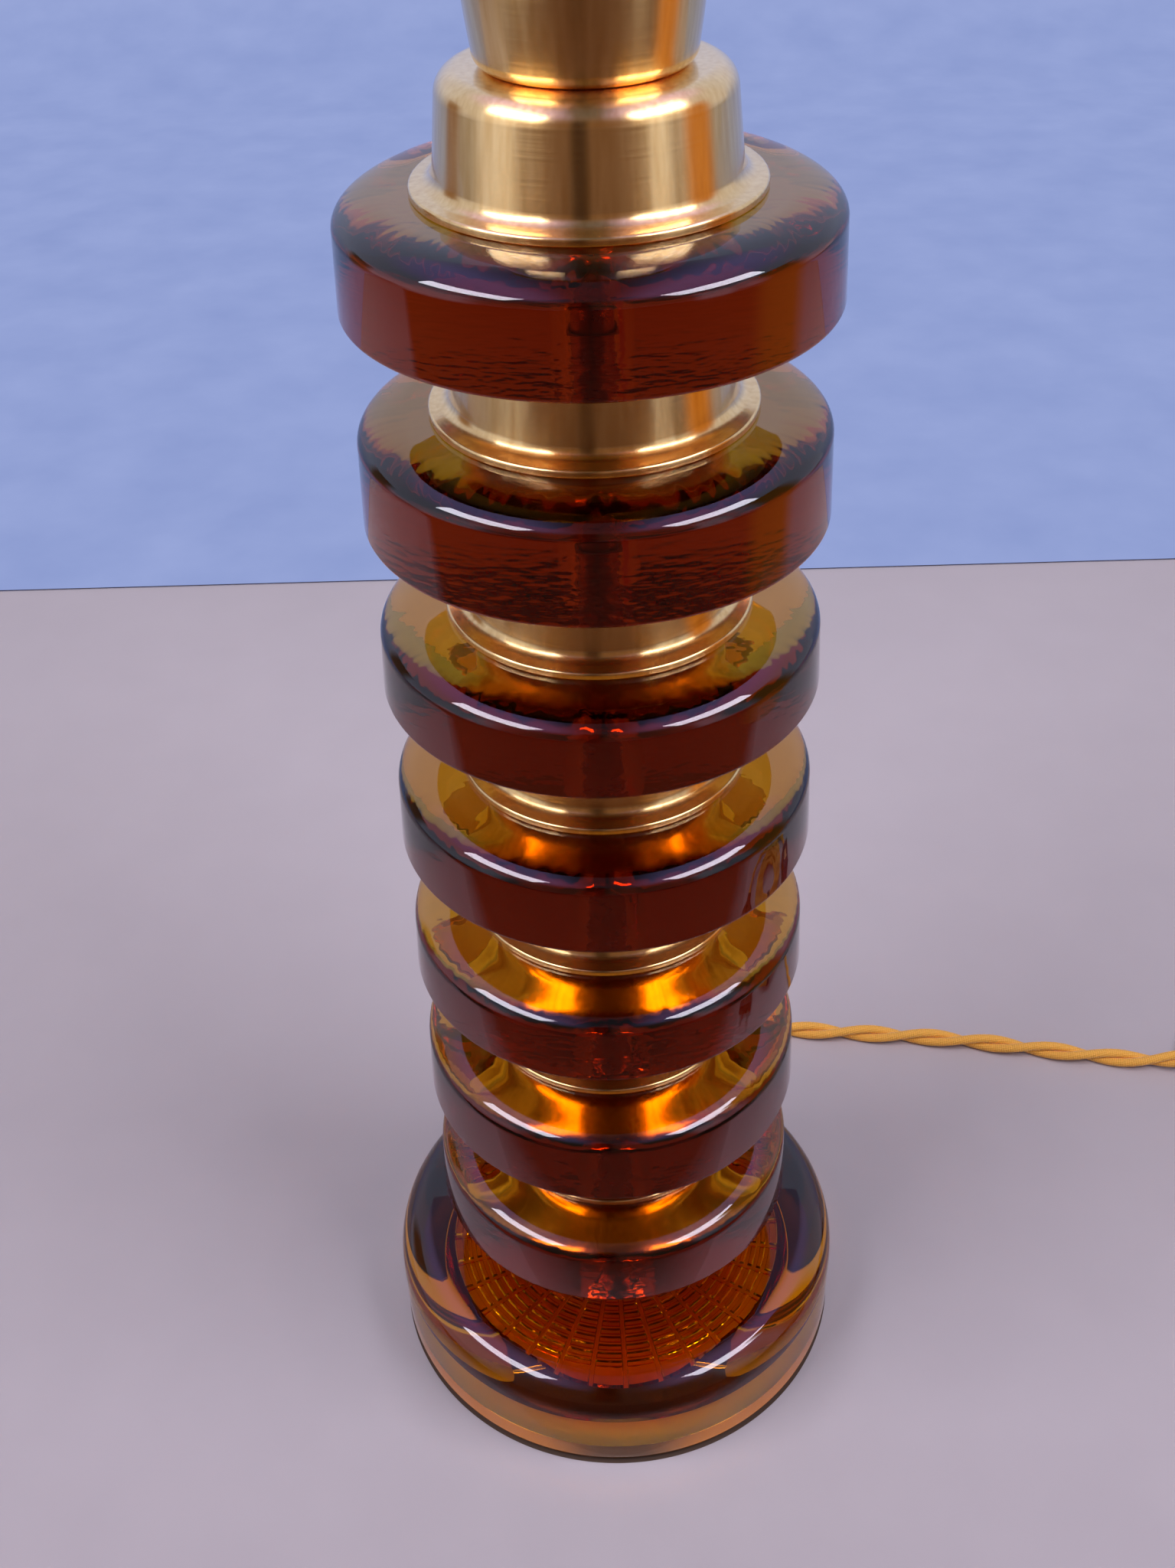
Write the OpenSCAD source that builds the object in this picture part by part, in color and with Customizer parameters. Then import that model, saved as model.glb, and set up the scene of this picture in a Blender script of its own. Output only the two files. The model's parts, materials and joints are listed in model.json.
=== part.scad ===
// Table lamp: seven amber glass discs and spun brass cups clamped by a hollow rod on a pressed glass foot,
// with a screw lampholder on top and a twisted textile cord that ends in an in-line switch and a plug.
// Millimetres, +Z up. The origin is the middle of the foot's resting face, and the cord leaves at +Y.

/* [Glass discs] */
// Widest diameter of a disc, at its lower edge
disc_d = 111.4; // [100:0.2:130]
// How far a disc's side draws in from its lower edge to its top rounding
disc_draft = 0.7; // [0:0.1:2]
// Heights of the discs, from the top one down
disc_heights = [24.5, 26.5, 21.5, 24, 22, 25, 23.5]; // [18:0.5:34]
// How far in the soft rounding of a disc's top edge starts
disc_edge_run = 12; // [8:0.5:14]
// How far down that rounding reaches
disc_edge_drop = 6; // [3:0.5:8]
// Rounding of a disc's lower edge
disc_bottom_round = 1.3; // [0.5:0.1:3]
// Rod hole through the discs and the foot
glass_bore = 12; // [11:0.5:18]

/* [Glass foot] */
// Outer diameter of the foot
foot_d = 145.8; // [140:0.2:180]
// Height of the foot
foot_h = 36.2; // [32:0.2:46]
// Rounding of the foot's top edge
foot_top_round = 11; // [4:0.5:14]
// Rounding of the foot's lower edge
foot_bottom_round = 4; // [1:0.5:6]
// Diameter of the hollow under the foot, at its ceiling
hollow_d = 109; // [104:1:118]
// How far the hollow's side opens out from its straight part to the floor
hollow_draft = 4; // [0:0.5:6]
// Height of the straight part of that side, just below the ceiling
hollow_straight = 3.5; // [1:0.5:6]
// Height of the hollow's ceiling above the floor
hollow_h = 13.5; // [13:0.5:16]
// Diameter of the deeper pocket for the clamping nut
pocket_d = 38; // [30:1:42]
// Depth of that pocket above the hollow's ceiling
pocket_h = 12.5; // [12:0.5:14]
// Number of radial ribs pressed into the ceiling
spoke_count = 32; // [12:1:36]
// How far the radial ribs are turned from the line to the front, in degrees
spoke_turn = 2; // [0:0.5:10]
// Distance from one ring rib to the next
ring_pitch = 2.9; // [2.4:0.1:6]
// Width of the ribs
rib_w = 1.2; // [0.8:0.1:1.6]
// How far the ring ribs stand out of the ceiling
ring_rib_h = 1.2; // [0.6:0.1:2]
// How far the radial ribs stand out of the ceiling
spoke_rib_h = 1.5; // [0.6:0.1:2.2]

/* [Brass cups] */
// Diameter of a cup's flared rim
rim_d = 76.2; // [70:0.2:90]
// Thickness of the rim at its edge
rim_h = 1.8; // [1.4:0.1:3]
// Diameter of a cup's wall where it meets the rim's cove
cup_low_d = 66; // [60:0.5:69]
// Diameter of a cup's wall below its top rounding
cup_high_d = 61.6; // [50:0.5:66]
// Height of a cup
cup_h = 24.3; // [18:0.1:32]
// Radius of the hollow curve between wall and rim
cove_round = 3; // [2:0.5:3.5]
// Rounding of a cup's top edge
shoulder_round = 5; // [3:0.5:7]
// Thickness of the spun brass
brass_t = 1.2; // [0.8:0.1:1.6]
// Thickness of the soft washer between a cup and the disc that it carries
washer_t = 0.8; // [0.4:0.1:2]
// Diameter of the soft washers
washer_d = 44; // [30:1:50]

/* [Socket cup] */
// Diameter of the socket cup above its lower lip
neck_low_d = 46.2; // [40:0.2:50]
// Diameter of the socket cup at its top
neck_high_d = 52; // [50:0.2:60]
// Height of the socket cup
neck_h = 42; // [38:0.5:44]
// Rounding of the socket cup's lower lip
neck_lip_round = 3.2; // [2:0.1:5]

/* [Rod and clamping] */
// Outer diameter of the hollow rod
rod_d = 10; // [9:0.5:10.5]
// Bore of the hollow rod
rod_bore = 8; // [7.5:0.1:8.4]
// Width of a nut across its flats
nut_flats = 17; // [14:0.5:19]
// Height of a nut
nut_h = 5; // [3:0.5:6]
// Thickness of the steel washers and of the rubber cushion
clamp_washer_t = 1.5; // [1:0.1:1.6]
// Diameter of the steel washer and of the rubber cushion under the foot
foot_washer_d = 32; // [24:1:34]
// Diameter of the steel washer inside the socket cup
top_washer_d = 24; // [20:1:30]

/* [Lampholder] */
// Diameter of the sleeve's free end, which a shade carrier slides over
sleeve_d = 39.6; // [38:0.1:40]
// How much wider the sleeve is where the shade ring screws on it
sleeve_step = 0.8; // [0.4:0.1:1.6]
// Wall of the sleeve
sleeve_wall = 3; // [2:0.1:3.2]
// Length of the sleeve
sleeve_h = 32; // [30:0.5:36]
// Bore of the screw shell for a 27 mm bulb cap
shell_bore = 26.6; // [26:0.1:27.4]
// Thickness of the screw shell's metal
shell_t = 0.8; // [0.5:0.1:1]
// Height of the holder's cap
holder_cap_h = 17.3; // [16:0.1:20]
// Height of the ceramic insert
insert_h = 17.5; // [16:0.5:19]
// Diameter of the shade ring
shade_ring_d = 57; // [55:0.5:64]
// Height of the shade ring
shade_ring_h = 4; // [3:0.5:5]

/* [Cord, switch and plug] */
// Diameter across the twisted cord
cord_d = 6.8; // [6:0.1:7.4]
// Length of the tapered cord gland
gland_len = 26; // [24:1:40]
// Diameter of the gland where it sits in the foot
gland_d = 10.8; // [9:0.1:11]
// Mean diameter of the coil's turns
coil_mean_d = 73; // [70:1:80]
// Turns in each of the coil's two layers
layer_turns = 3; // [2:1:4]
// Gap between neighbouring turns and layers
coil_gap = 0.6; // [0.5:0.1:1.5]
// Length of the in-line switch
switch_len = 58; // [54:1:66]
// Width of the in-line switch
switch_w = 26; // [24:0.5:30]
// Height of the in-line switch
switch_h = 19; // [18:0.5:22]
// Tilt of the rocker from its middle, to either side
rocker_tilt = 7; // [4:0.5:8]
// Width of the plug at its face
plug_w = 35.3; // [33:0.1:38]
// Thickness of the plug
plug_t = 13.7; // [13:0.1:16]
// Length of the plug without its pins
plug_len = 55; // [50:1:60]

/* [Hidden] */
$fn = 96;
arc_steps = 6;
seat_gap = 0.3;
thread_gap = 0.1;
pin_gap = 0.08;

disc_count = len(disc_heights);
cup_pitch = cup_h + washer_t;
rod_hole_d = rod_d + 2 * seat_gap;

// Heights of the stack: the foot, then cup, soft washer and disc in turn, from the bottom disc up
function heights_below(k) = k >= disc_count ? 0 : disc_heights[k] + heights_below(k + 1);
function disc_z(k) = foot_h + (disc_count + 1 - k) * cup_pitch + heights_below(k);
function spacer_z(k) = disc_z(k) - cup_pitch;
top_cup_z = disc_z(1) + disc_heights[0];
neck_z = top_cup_z + cup_h;

// Clamping under the foot and inside the socket cup
pocket_z = hollow_h + pocket_h;
cushion_z = pocket_z - clamp_washer_t;
foot_washer_z = cushion_z - clamp_washer_t;
foot_nut_z = foot_washer_z - nut_h;
rod_low_z = foot_nut_z - 1;
top_washer_z = neck_z + brass_t;
top_nut_z = top_washer_z + clamp_washer_t;

// Lampholder, from the nut up
cap_z = top_nut_z + nut_h;
cap_floor = 5;
cap_foot_h = 3;
cap_foot_wall = 2;
cap_shoulder_h = 8;
rod_high_z = cap_z + cap_floor + 1;
sleeve_low_d = sleeve_d + sleeve_step;
insert_d = sleeve_d - 2 * sleeve_wall - 2 * seat_gap;
insert_ledge = 2;
insert_seat_h = 9.3;
insert_z = cap_z + insert_seat_h;
insert_well_h = 3.5;
insert_top_z = insert_z + insert_h;
insert_well_z = insert_top_z - insert_well_h;
sleeve_z = cap_z + holder_cap_h;
sleeve_top_z = sleeve_z + sleeve_h;
shell_inset = 2;
shell_top_z = sleeve_top_z - shell_inset;
shell_d = shell_bore + 2 * shell_t;
sleeve_lip_h = 5;
terminal_w = 5.4;
terminal_h = 7;
terminal_screw_d = 3.2;
ring_flange_t = 1.6;
ring_hub_wall = 3;
ring_z = neck_z + neck_h;
ring_top_z = ring_z + shade_ring_h;

// Cord gland and the notch that holds it
gland_z = 6;
gland_out = 13.1;
gland_tip_d = 8.4;
gland_end_y = foot_d / 2 + gland_out;
gland_start_y = gland_end_y - gland_len;
notch_d = gland_d + 2 * seat_gap;

// Lead inside the foot: straight out of the gland, down a little, and up into the rod
lead_straight = 6;
lead_down_at = 18;
lead_flat_to = 32;
lead_low_z = gland_z - 0.5;
lead_bend = 12.5;

// Routes of the cord, as points on its middle line
cord_route = [
    [0, 86, 6], [0, 91, 5.6], [2, 99.5, 4.8], [8, 108, 4], [17, 113.5, 3.5], [28, 115.5, 3.4],
    [41, 114.5, 3.4], [54, 112, 3.4], [68, 109.6, 3.4], [92, 106.8, 3.4], [116, 104.2, 3.4],
    [139, 101, 3.4], [162, 96.6, 3.4], [184, 92.2, 3.4], [202, 89, 3.4], [213, 87.2, 4.2],
    [222, 86.2, 5.8], [229, 86, 7]
];
lead_route = [
    [287, 86, 7], [293, 86, 6.4], [304, 83.6, 5.4], [313.4, 77, 4.8], [319.8, 67.4, 4.6], [322, 56, 4.6],
    [322, 45, 4.6], [322, 34, 4.6], [322, 23, 4.6]
];
tail_route = [
    [322, 9, 12], [322, 0, 12], [321.4, -14, 11.4], [317, -28, 10.2], [308, -41, 9], [295, -50.4, 7.8],
    [281, -54.6, 7], [274, -55, 6.9], [268, -55, 6.85]
];
ring_spacing = 2 * cord_d;
tube_sides = 8;
coil_sides = 6;
coil_rings = 24;
coil_end = [322, 16];
coil_low_z = 4.6;
coil_straight = 7;

// The switch lies along X between the two stretches of cord
switch_x = 258;
switch_y = 86;
switch_end_w = 13;
switch_end_h = 11.5;
switch_middle_len = 32;
base_h = 8;
axle_z = 13;
axle_d = 3;
well_r = 10;
rocker_w = 10.2;
well_w = rocker_w + 2 * seat_gap;
axle_reach = 2;
rocker_low = 2;
rocker_high = 6;
rocker_dip = 3.4;
contact_pocket = [22, 12, 4];
contact_t = 0.8;
contact_apart = 12;
screw_d = 3;
screw_head_d = 5.4;
screw_head_h = 1.8;
screw_spots = [[19, 6], [-19, -6]];

// The plug points along -X from the end of the tail
plug_x = 268;
plug_y = -55;
plug_front_len = 25;
plug_neck_at = 40;
plug_neck_w = 14;
plug_tail_w = 9.2;
plug_grips_at = [9, 13.5, 18];
plug_grip_d = 3;
pin_d = 4;
pin_len = 19;
pin_spacing = 18.6;
pin_sleeve_len = 10;

// Outlines: each corner is [x, y, r], and r rounds it with an arc
function unit(v) = v / norm(v);
function xy(p) = [p.x, p.y];
function turn(a) = a > 180 ? a - 360 : a < -180 ? a + 360 : a;
function corner(a, b, c, r) =
    let (u = unit(a - b), v = unit(c - b), half = acos(u * v) / 2)
    let (middle = b + unit(u + v) * r / sin(half), from = b + u * r / tan(half), to = b + v * r / tan(half))
    let (start = atan2(from.y - middle.y, from.x - middle.x))
    let (sweep = turn(atan2(to.y - middle.y, to.x - middle.x) - start))
    [for (i = [0:arc_steps]) let (a = start + sweep * i / arc_steps) middle + r * [cos(a), sin(a)]];
function outline(p) =
    let (n = len(p))
    [
        for (i = [0:n - 1])
            each p[i].z == 0
                ? [xy(p[i])]
                : corner(xy(p[(i + n - 1) % n]), xy(p[i]), xy(p[(i + 1) % n]), p[i].z)
    ];

// Swept tubes: a smooth line through hand-set points, and rings of points round it
function spline(a, b, c, d, t) =
    0.5 * ((2 * b) + (c - a) * t + (2 * a - 5 * b + 4 * c - d) * t * t + (3 * b - a - 3 * c + d) * t * t * t);
function smooth_line(p, step) =
    let (n = len(p))
    concat(
        [
            for (i = [0:n - 2])
                let (before = i > 0 ? p[i - 1] : 2 * p[0] - p[1])
                let (after = i < n - 2 ? p[i + 2] : 2 * p[n - 1] - p[n - 2])
                let (parts = max(1, round(norm(p[i + 1] - p[i]) / step)))
                for (k = [0:parts - 1]) spline(before, p[i], p[i + 1], after, k / parts)
        ],
        [p[n - 1]]
    );
function heading(p, i) = unit(p[min(i + 1, len(p) - 1)] - p[max(i - 1, 0)]);
function tube_points(p, r, sides, across) =
    [
        for (i = [0:len(p) - 1])
            let (t = heading(p, i), n = unit(cross(across, t)), b = cross(t, n))
            for (k = [0:sides - 1]) p[i] + r * (cos(360 * k / sides) * n + sin(360 * k / sides) * b)
    ];
function tube_faces(rings, sides) =
    concat(
        [
            for (i = [0:rings - 2], k = [0:sides - 1])
                let (a = i * sides + k, b = i * sides + (k + 1) % sides)
                each [[a, b + sides, b], [a, a + sides, b + sides]]
        ],
        [for (k = [1:sides - 2]) [0, k, k + 1]],
        [for (k = [1:sides - 2]) let (e = (rings - 1) * sides) [e, e + k + 1, e + k]]
    );
module tube(p, d, sides, across = [0, 0, 1]) {
    polyhedron(tube_points(p, d / 2, sides, across), tube_faces(len(p), sides));
}

// A washer, ring or plain collar standing on height z
module ring(outer_d, inner_d, z, h) {
    translate([0, 0, z]) difference() {
        cylinder(d = outer_d, h = h);
        translate([0, 0, -1]) cylinder(d = inner_d, h = h + 2);
    }
}

// A shape whose plan, side and end views are three rounded outlines
module three_view(plan, side, end, reach) {
    intersection() {
        linear_extrude(reach) polygon(plan);
        translate([0, reach, 0]) rotate([90, 0, 0]) linear_extrude(2 * reach) polygon(side);
        translate([-reach, 0, 0]) rotate([90, 0, 90]) linear_extrude(2 * reach) polygon(end);
    }
}

// Foot: a thick pressed bowl turned over, with ring and spoke ribs on the ceiling of its hollow
module foot_profile() {
    r = foot_d / 2;
    ring_in = pocket_d / 2 + ring_pitch;
    rings = floor((hollow_d / 2 - ring_in - rib_w) / ring_pitch);
    polygon(concat(
        outline([
            [glass_bore / 2, pocket_z, 0], [glass_bore / 2, foot_h, 0], [r, foot_h, foot_top_round],
            [r, 0, foot_bottom_round], [hollow_d / 2 + hollow_draft, 0, 0.5],
            [hollow_d / 2, hollow_h - hollow_straight, 0], [hollow_d / 2, hollow_h, 0]
        ]),
        [
            for (i = [rings:-1:0])
                let (x = ring_in + i * ring_pitch)
                each [
                    [x + rib_w, hollow_h], [x + rib_w, hollow_h - ring_rib_h],
                    [x, hollow_h - ring_rib_h], [x, hollow_h]
                ]
        ],
        [[pocket_d / 2, hollow_h], [pocket_d / 2, pocket_z]]
    ));
}
module foot_glass() {
    spoke_in = pocket_d / 2 + 0.4;
    spoke_out = hollow_d / 2 + 0.5;
    notch_in = hollow_d / 2 - 4;
    color("#8a3d06", 0.8) difference() {
        union() {
            rotate_extrude() foot_profile();
            for (i = [0:spoke_count - 1]) rotate(360 * i / spoke_count + spoke_turn - 90)
                translate([spoke_in, -rib_w / 2, hollow_h - spoke_rib_h])
                    cube([spoke_out - spoke_in, rib_w, spoke_rib_h + 1]);
        }
        translate([0, notch_in, gland_z]) rotate([-90, 0, 0]) cylinder(d = notch_d, h = foot_d);
        translate([-notch_d / 2, notch_in, -1]) cube([notch_d, foot_d, gland_z + 1]);
    }
}

// Clamping pieces under the foot
module foot_cushion() {
    color("#2b2420") ring(foot_washer_d, rod_hole_d, cushion_z, clamp_washer_t);
}
module foot_washer() {
    color("silver") ring(foot_washer_d, rod_hole_d, foot_washer_z, clamp_washer_t);
}
module hex_nut(z) {
    translate([0, 0, z]) difference() {
        cylinder(d = nut_flats / cos(30), h = nut_h, $fn = 6);
        translate([0, 0, -1]) cylinder(d = rod_d + 2 * thread_gap, h = nut_h + 2);
    }
}
module foot_nut() {
    color("#b8862e") hex_nut(foot_nut_z);
}
module centre_rod() {
    color("#c39a45") ring(rod_d, rod_bore, rod_low_z, rod_high_z - rod_low_z);
}

// Spun brass cup: flat rim, hollow cove, leaning wall, rounded shoulder and a closed top with the rod's hole
module brass_cup(z) {
    low = cup_low_d / 2;
    high = cup_high_d / 2;
    rim = rim_d / 2;
    cove_z = rim_h + 0.4;
    hole = rod_hole_d / 2;
    translate([0, 0, z]) rotate_extrude() polygon(outline([
        [low + cove_round, 0, 0], [rim, 0, 0.3], [rim, rim_h, 0.7], [low, cove_z, cove_round],
        [high, cup_h, shoulder_round], [hole, cup_h, 0], [hole, cup_h - brass_t, 0],
        [high - brass_t, cup_h - brass_t, shoulder_round - brass_t],
        [low - brass_t, cove_z - brass_t, cove_round + brass_t], [low + cove_round, cove_z - brass_t, 0]
    ]));
}
module top_cup() {
    color("#cfa24a") brass_cup(top_cup_z);
}
module spacer(k) {
    color("#cfa24a") brass_cup(spacer_z(k));
}

// Soft washers, one on each spacer
module cushion_washers() {
    color("#d8cfb8") for (k = [1:disc_count]) ring(washer_d, rod_hole_d, disc_z(k) - washer_t, washer_t);
}

// Pressed glass disc with a soft, fire polished top rounding and a nearly sharp lower edge
module glass_disc(k) {
    bore = glass_bore / 2;
    low_r = disc_d / 2;
    high_r = low_r - disc_draft;
    h = disc_heights[k - 1];
    low_edge = corner([bore, 0], [low_r, 0], [high_r, h], disc_bottom_round);
    high_edge = [
        for (i = [0:arc_steps])
            let (a = 90 * i / arc_steps)
            [high_r - disc_edge_run * (1 - cos(a)), h - disc_edge_drop * (1 - sin(a))]
    ];
    color("#8a3d06", 0.8) translate([0, 0, disc_z(k)]) rotate_extrude()
        polygon(concat([[bore, 0]], low_edge, high_edge, [[bore, h]]));
}

// Socket cup: a closed bottom with a rounded lip, and a wall that flares and then straightens
function neck_r(s) = neck_low_d / 2 + (neck_high_d - neck_low_d) / 2 * (2 * s - s * s);
module socket_cup() {
    hole = rod_hole_d / 2;
    steps = 8;
    wall_z = neck_lip_round;
    rise = neck_h - wall_z;
    lip = neck_lip_round;
    color("#cfa24a") translate([0, 0, neck_z]) rotate_extrude() polygon(concat(
        [[hole, 0], [neck_low_d / 2 - lip, 0]],
        [for (a = [15:15:75]) [neck_low_d / 2 - lip + lip * sin(a), lip - lip * cos(a)]],
        [for (i = [0:steps]) [neck_r(i / steps), wall_z + rise * i / steps]],
        [for (i = [steps:-1:0]) [neck_r(i / steps) - brass_t, wall_z + rise * i / steps]],
        [[neck_low_d / 2 - lip, brass_t], [hole, brass_t]]
    ));
}
module top_washer() {
    color("silver") ring(top_washer_d, rod_hole_d, top_washer_z, clamp_washer_t);
}
module top_nut() {
    color("#b8862e") hex_nut(top_nut_z);
}

// Lampholder
module holder_cap() {
    r = sleeve_low_d / 2;
    cavity = insert_d / 2 + seat_gap;
    ledge = insert_d / 2 - insert_ledge;
    hole = rod_d / 2 + thread_gap;
    foot = nut_flats / 2 + cap_foot_wall;
    color("#2a1c12") rotate_extrude() polygon(outline([
        [hole, cap_z, 0], [foot, cap_z, 1], [foot, cap_z + cap_foot_h, 0],
        [r, cap_z + cap_shoulder_h, 2], [r, sleeve_z, 0], [cavity, sleeve_z, 0], [cavity, insert_z, 0],
        [ledge, insert_z, 0], [ledge, cap_z + cap_shoulder_h, 0],
        [ledge - 2 * insert_ledge, cap_z + cap_floor, 0], [hole, cap_z + cap_floor, 0]
    ]));
}
module terminal_places() {
    for (side = [0, 180]) rotate(side) translate([insert_d / 2 - terminal_w, 0, insert_z + 3]) children();
}
module holder_insert() {
    well_d = shell_bore - 3;
    color("#e8e2d4") difference() {
        translate([0, 0, insert_z]) cylinder(d = insert_d, h = insert_h);
        translate([0, 0, insert_well_z]) cylinder(d = well_d, h = insert_h);
        terminal_places()
            translate([-seat_gap, -terminal_w / 2 - seat_gap, 0])
                cube([2 * terminal_w, terminal_w + 2 * seat_gap, terminal_h + seat_gap]);
    }
}
module holder_terminals() {
    color("#c8a040") terminal_places() {
        difference() {
            translate([0, -terminal_w / 2, 0]) cube([terminal_w - 1, terminal_w, terminal_h]);
            translate([terminal_w - 2, 0, terminal_h / 2]) rotate([0, 90, 0])
                cylinder(d = terminal_screw_d, h = 4);
        }
    }
}
module centre_contact() {
    tongue = [15, 5, 0.6];
    color("#c8a040") {
        translate([-tongue.x / 2, -tongue.y / 2, insert_well_z]) cube(tongue);
        translate([0, 0, insert_well_z + tongue.z / 2]) rotate_extrude() polygon(outline([
            [0, 0, 0], [2.4, 0, 0], [2.4, insert_well_h - 1, 1.2], [0, insert_well_h - 1, 0]
        ]));
    }
}
module screw_shell() {
    color("#c8a040") ring(shell_d, shell_bore, insert_top_z, shell_top_z - insert_top_z);
}
module holder_sleeve() {
    r = sleeve_d / 2;
    inner = r - sleeve_wall;
    lip = shell_d / 2 + seat_gap;
    color("#2a1c12") rotate_extrude() polygon(outline([
        [inner, sleeve_z, 0], [sleeve_low_d / 2, sleeve_z, 0], [sleeve_low_d / 2, ring_top_z, 0],
        [r, ring_top_z, 0], [r, sleeve_top_z, 0.8], [lip, sleeve_top_z, 0.5],
        [lip, sleeve_top_z - sleeve_lip_h, 0], [inner, sleeve_top_z - sleeve_lip_h, 0]
    ]));
}
module shade_ring() {
    hole = sleeve_low_d / 2 + thread_gap;
    hub = hole + ring_hub_wall;
    flange = shade_ring_d / 2;
    color("#cfa24a") translate([0, 0, ring_z]) rotate_extrude() polygon(outline([
        [hole, 0, 0], [flange, 0, 0.5], [flange, ring_flange_t, 0.5], [hub, ring_flange_t, 0.4],
        [hub, shade_ring_h, 0.6], [hole, shade_ring_h, 0]
    ]));
}

// Lead inside the foot and the rod, from the gland to the lampholder's insert
module inner_lead() {
    route = concat(
        [for (at = [0, lead_straight]) [0, gland_start_y - at, gland_z]],
        [for (at = [lead_down_at, lead_flat_to]) [0, gland_start_y - at, lead_low_z]],
        [for (a = [0:15:90]) [0, lead_bend * (1 - sin(a)), lead_low_z + lead_bend * (1 - cos(a))]],
        [[0, 0, rod_high_z], [0, 0, insert_z]]
    );
    color("#e09a2e") tube(route, cord_d, tube_sides, [1, 0, 0]);
}

// Cord gland: a soft tapered sleeve with flex grooves, seated in the foot's notch
module cord_gland() {
    seat = gland_len - gland_out;
    groove_w = 1.2;
    groove_h = 0.6;
    grooves_at = [for (i = [1:3]) seat + i * gland_out / 4];
    color("#4a2a14") translate([0, gland_start_y, gland_z]) rotate([-90, 0, 0]) difference() {
        union() {
            cylinder(d = gland_d, h = seat);
            translate([0, 0, seat]) cylinder(d1 = gland_d, d2 = gland_tip_d, h = gland_out);
        }
        for (at = grooves_at) translate([0, 0, at]) difference() {
            cylinder(d = 2 * gland_d, h = groove_w);
            translate([0, 0, -1]) cylinder(d = gland_tip_d - 2 * groove_h, h = groove_w + 2);
        }
    }
}

// Stretches of cord on the floor
module cord_run() {
    color("#e8a030") tube(smooth_line(cord_route, ring_spacing), cord_d, tube_sides);
}
module cord_lead() {
    color("#e8a030") tube(smooth_line(lead_route, ring_spacing), cord_d, tube_sides);
}
module cord_tail() {
    color("#e8a030") tube(smooth_line(tail_route, ring_spacing), cord_d, tube_sides);
}

// Coil: in along the floor, up half a turn round the middle, and out again on top, as one tube
coil_pitch = cord_d + coil_gap;
coil_out_r = coil_mean_d / 2 + coil_pitch * layer_turns / 2;
coil_in_r = coil_out_r - coil_pitch * layer_turns;
coil_middle = coil_end - [coil_out_r, 0];
function coil_r(turns) = coil_in_r + coil_pitch * abs(layer_turns - turns);
function climb(turns) = min(1, max(0, 2 * (turns - layer_turns) + 0.5));
function coil_z(turns) = coil_low_z + coil_pitch * (1 - cos(180 * climb(turns))) / 2;
function coil_point(turns) =
    [
        coil_middle.x + coil_r(turns) * cos(360 * turns),
        coil_middle.y - coil_r(turns) * sin(360 * turns),
        coil_z(turns)
    ];
coil_line = concat(
    [[coil_end.x, coil_end.y + coil_straight, coil_low_z]],
    [for (i = [0:2 * layer_turns * coil_rings]) coil_point(i / coil_rings)],
    [[coil_end.x, coil_end.y - coil_straight, coil_low_z + coil_pitch]]
);
coil_apart = min([
    for (i = [0:len(coil_line) - 1])
        for (j = [i + coil_rings / 2:1:len(coil_line) - 1]) norm(coil_line[i] - coil_line[j])
]);
echo(least_gap_between_turns = coil_apart - cord_d);
module cord_coil() {
    color("#e8a030") tube(coil_line, cord_d, coil_sides);
}
module coil_tie() {
    band_t = 0.8;
    band_w = 8;
    play = 0.4;
    half_turn = 0.5;
    out = coil_r(half_turn) + cord_d / 2 + play;
    in = coil_r(layer_turns - half_turn) - cord_d / 2 - play;
    low = coil_low_z - cord_d / 2 - play;
    high = coil_low_z + coil_pitch + cord_d / 2 + play;
    color("#3a2a1e") translate([coil_middle.x, coil_middle.y + band_w / 2, 0]) rotate([90, 0, 0])
        linear_extrude(band_w) difference() {
            polygon(outline([
                [-out - band_t, low - band_t, 3], [-in + band_t, low - band_t, 3],
                [-in + band_t, high + band_t, 3], [-out - band_t, high + band_t, 3]
            ]));
            polygon(outline([[-out, low, 2.2], [-in, low, 2.2], [-in, high, 2.2], [-out, high, 2.2]]));
        }
}

// In-line switch
module switch_place() {
    translate([switch_x, switch_y, 0]) children();
}
module switch_shape(low, high) {
    l = switch_len / 2;
    w = switch_w / 2;
    e = switch_end_w / 2;
    m = switch_middle_len / 2;
    intersection() {
        three_view(
            outline([
                [-l, -e, 2], [-m, -w, 8], [m, -w, 8], [l, -e, 2], [l, e, 2], [m, w, 8], [-m, w, 8], [-l, e, 2]
            ]),
            outline([
                [-l, 0, 1], [l, 0, 1], [l, switch_end_h, 2], [m, switch_h, 10],
                [-m, switch_h, 10], [-l, switch_end_h, 2]
            ]),
            outline([[-w, 0, 1.5], [w, 0, 1.5], [w, switch_h, 5], [-w, switch_h, 5]]),
            switch_len
        );
        translate([-switch_len, -switch_len, low]) cube([2 * switch_len, 2 * switch_len, high - low]);
    }
}
module along_y(d, reach) {
    rotate([90, 0, 0]) translate([0, 0, -reach]) cylinder(d = d, h = 2 * reach);
}
module switch_base() {
    color("#2a1c12") switch_place() difference() {
        switch_shape(0, base_h);
        translate([-contact_pocket.x / 2, -contact_pocket.y / 2, base_h - contact_pocket.z])
            cube([contact_pocket.x, contact_pocket.y, contact_pocket.z + 1]);
        for (s = screw_spots) translate([s.x, s.y, -1]) {
            cylinder(d = screw_d + 2 * seat_gap, h = base_h + 2);
            cylinder(d = screw_head_d + 2 * seat_gap, h = 1 + screw_head_h + seat_gap);
        }
    }
}
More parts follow.
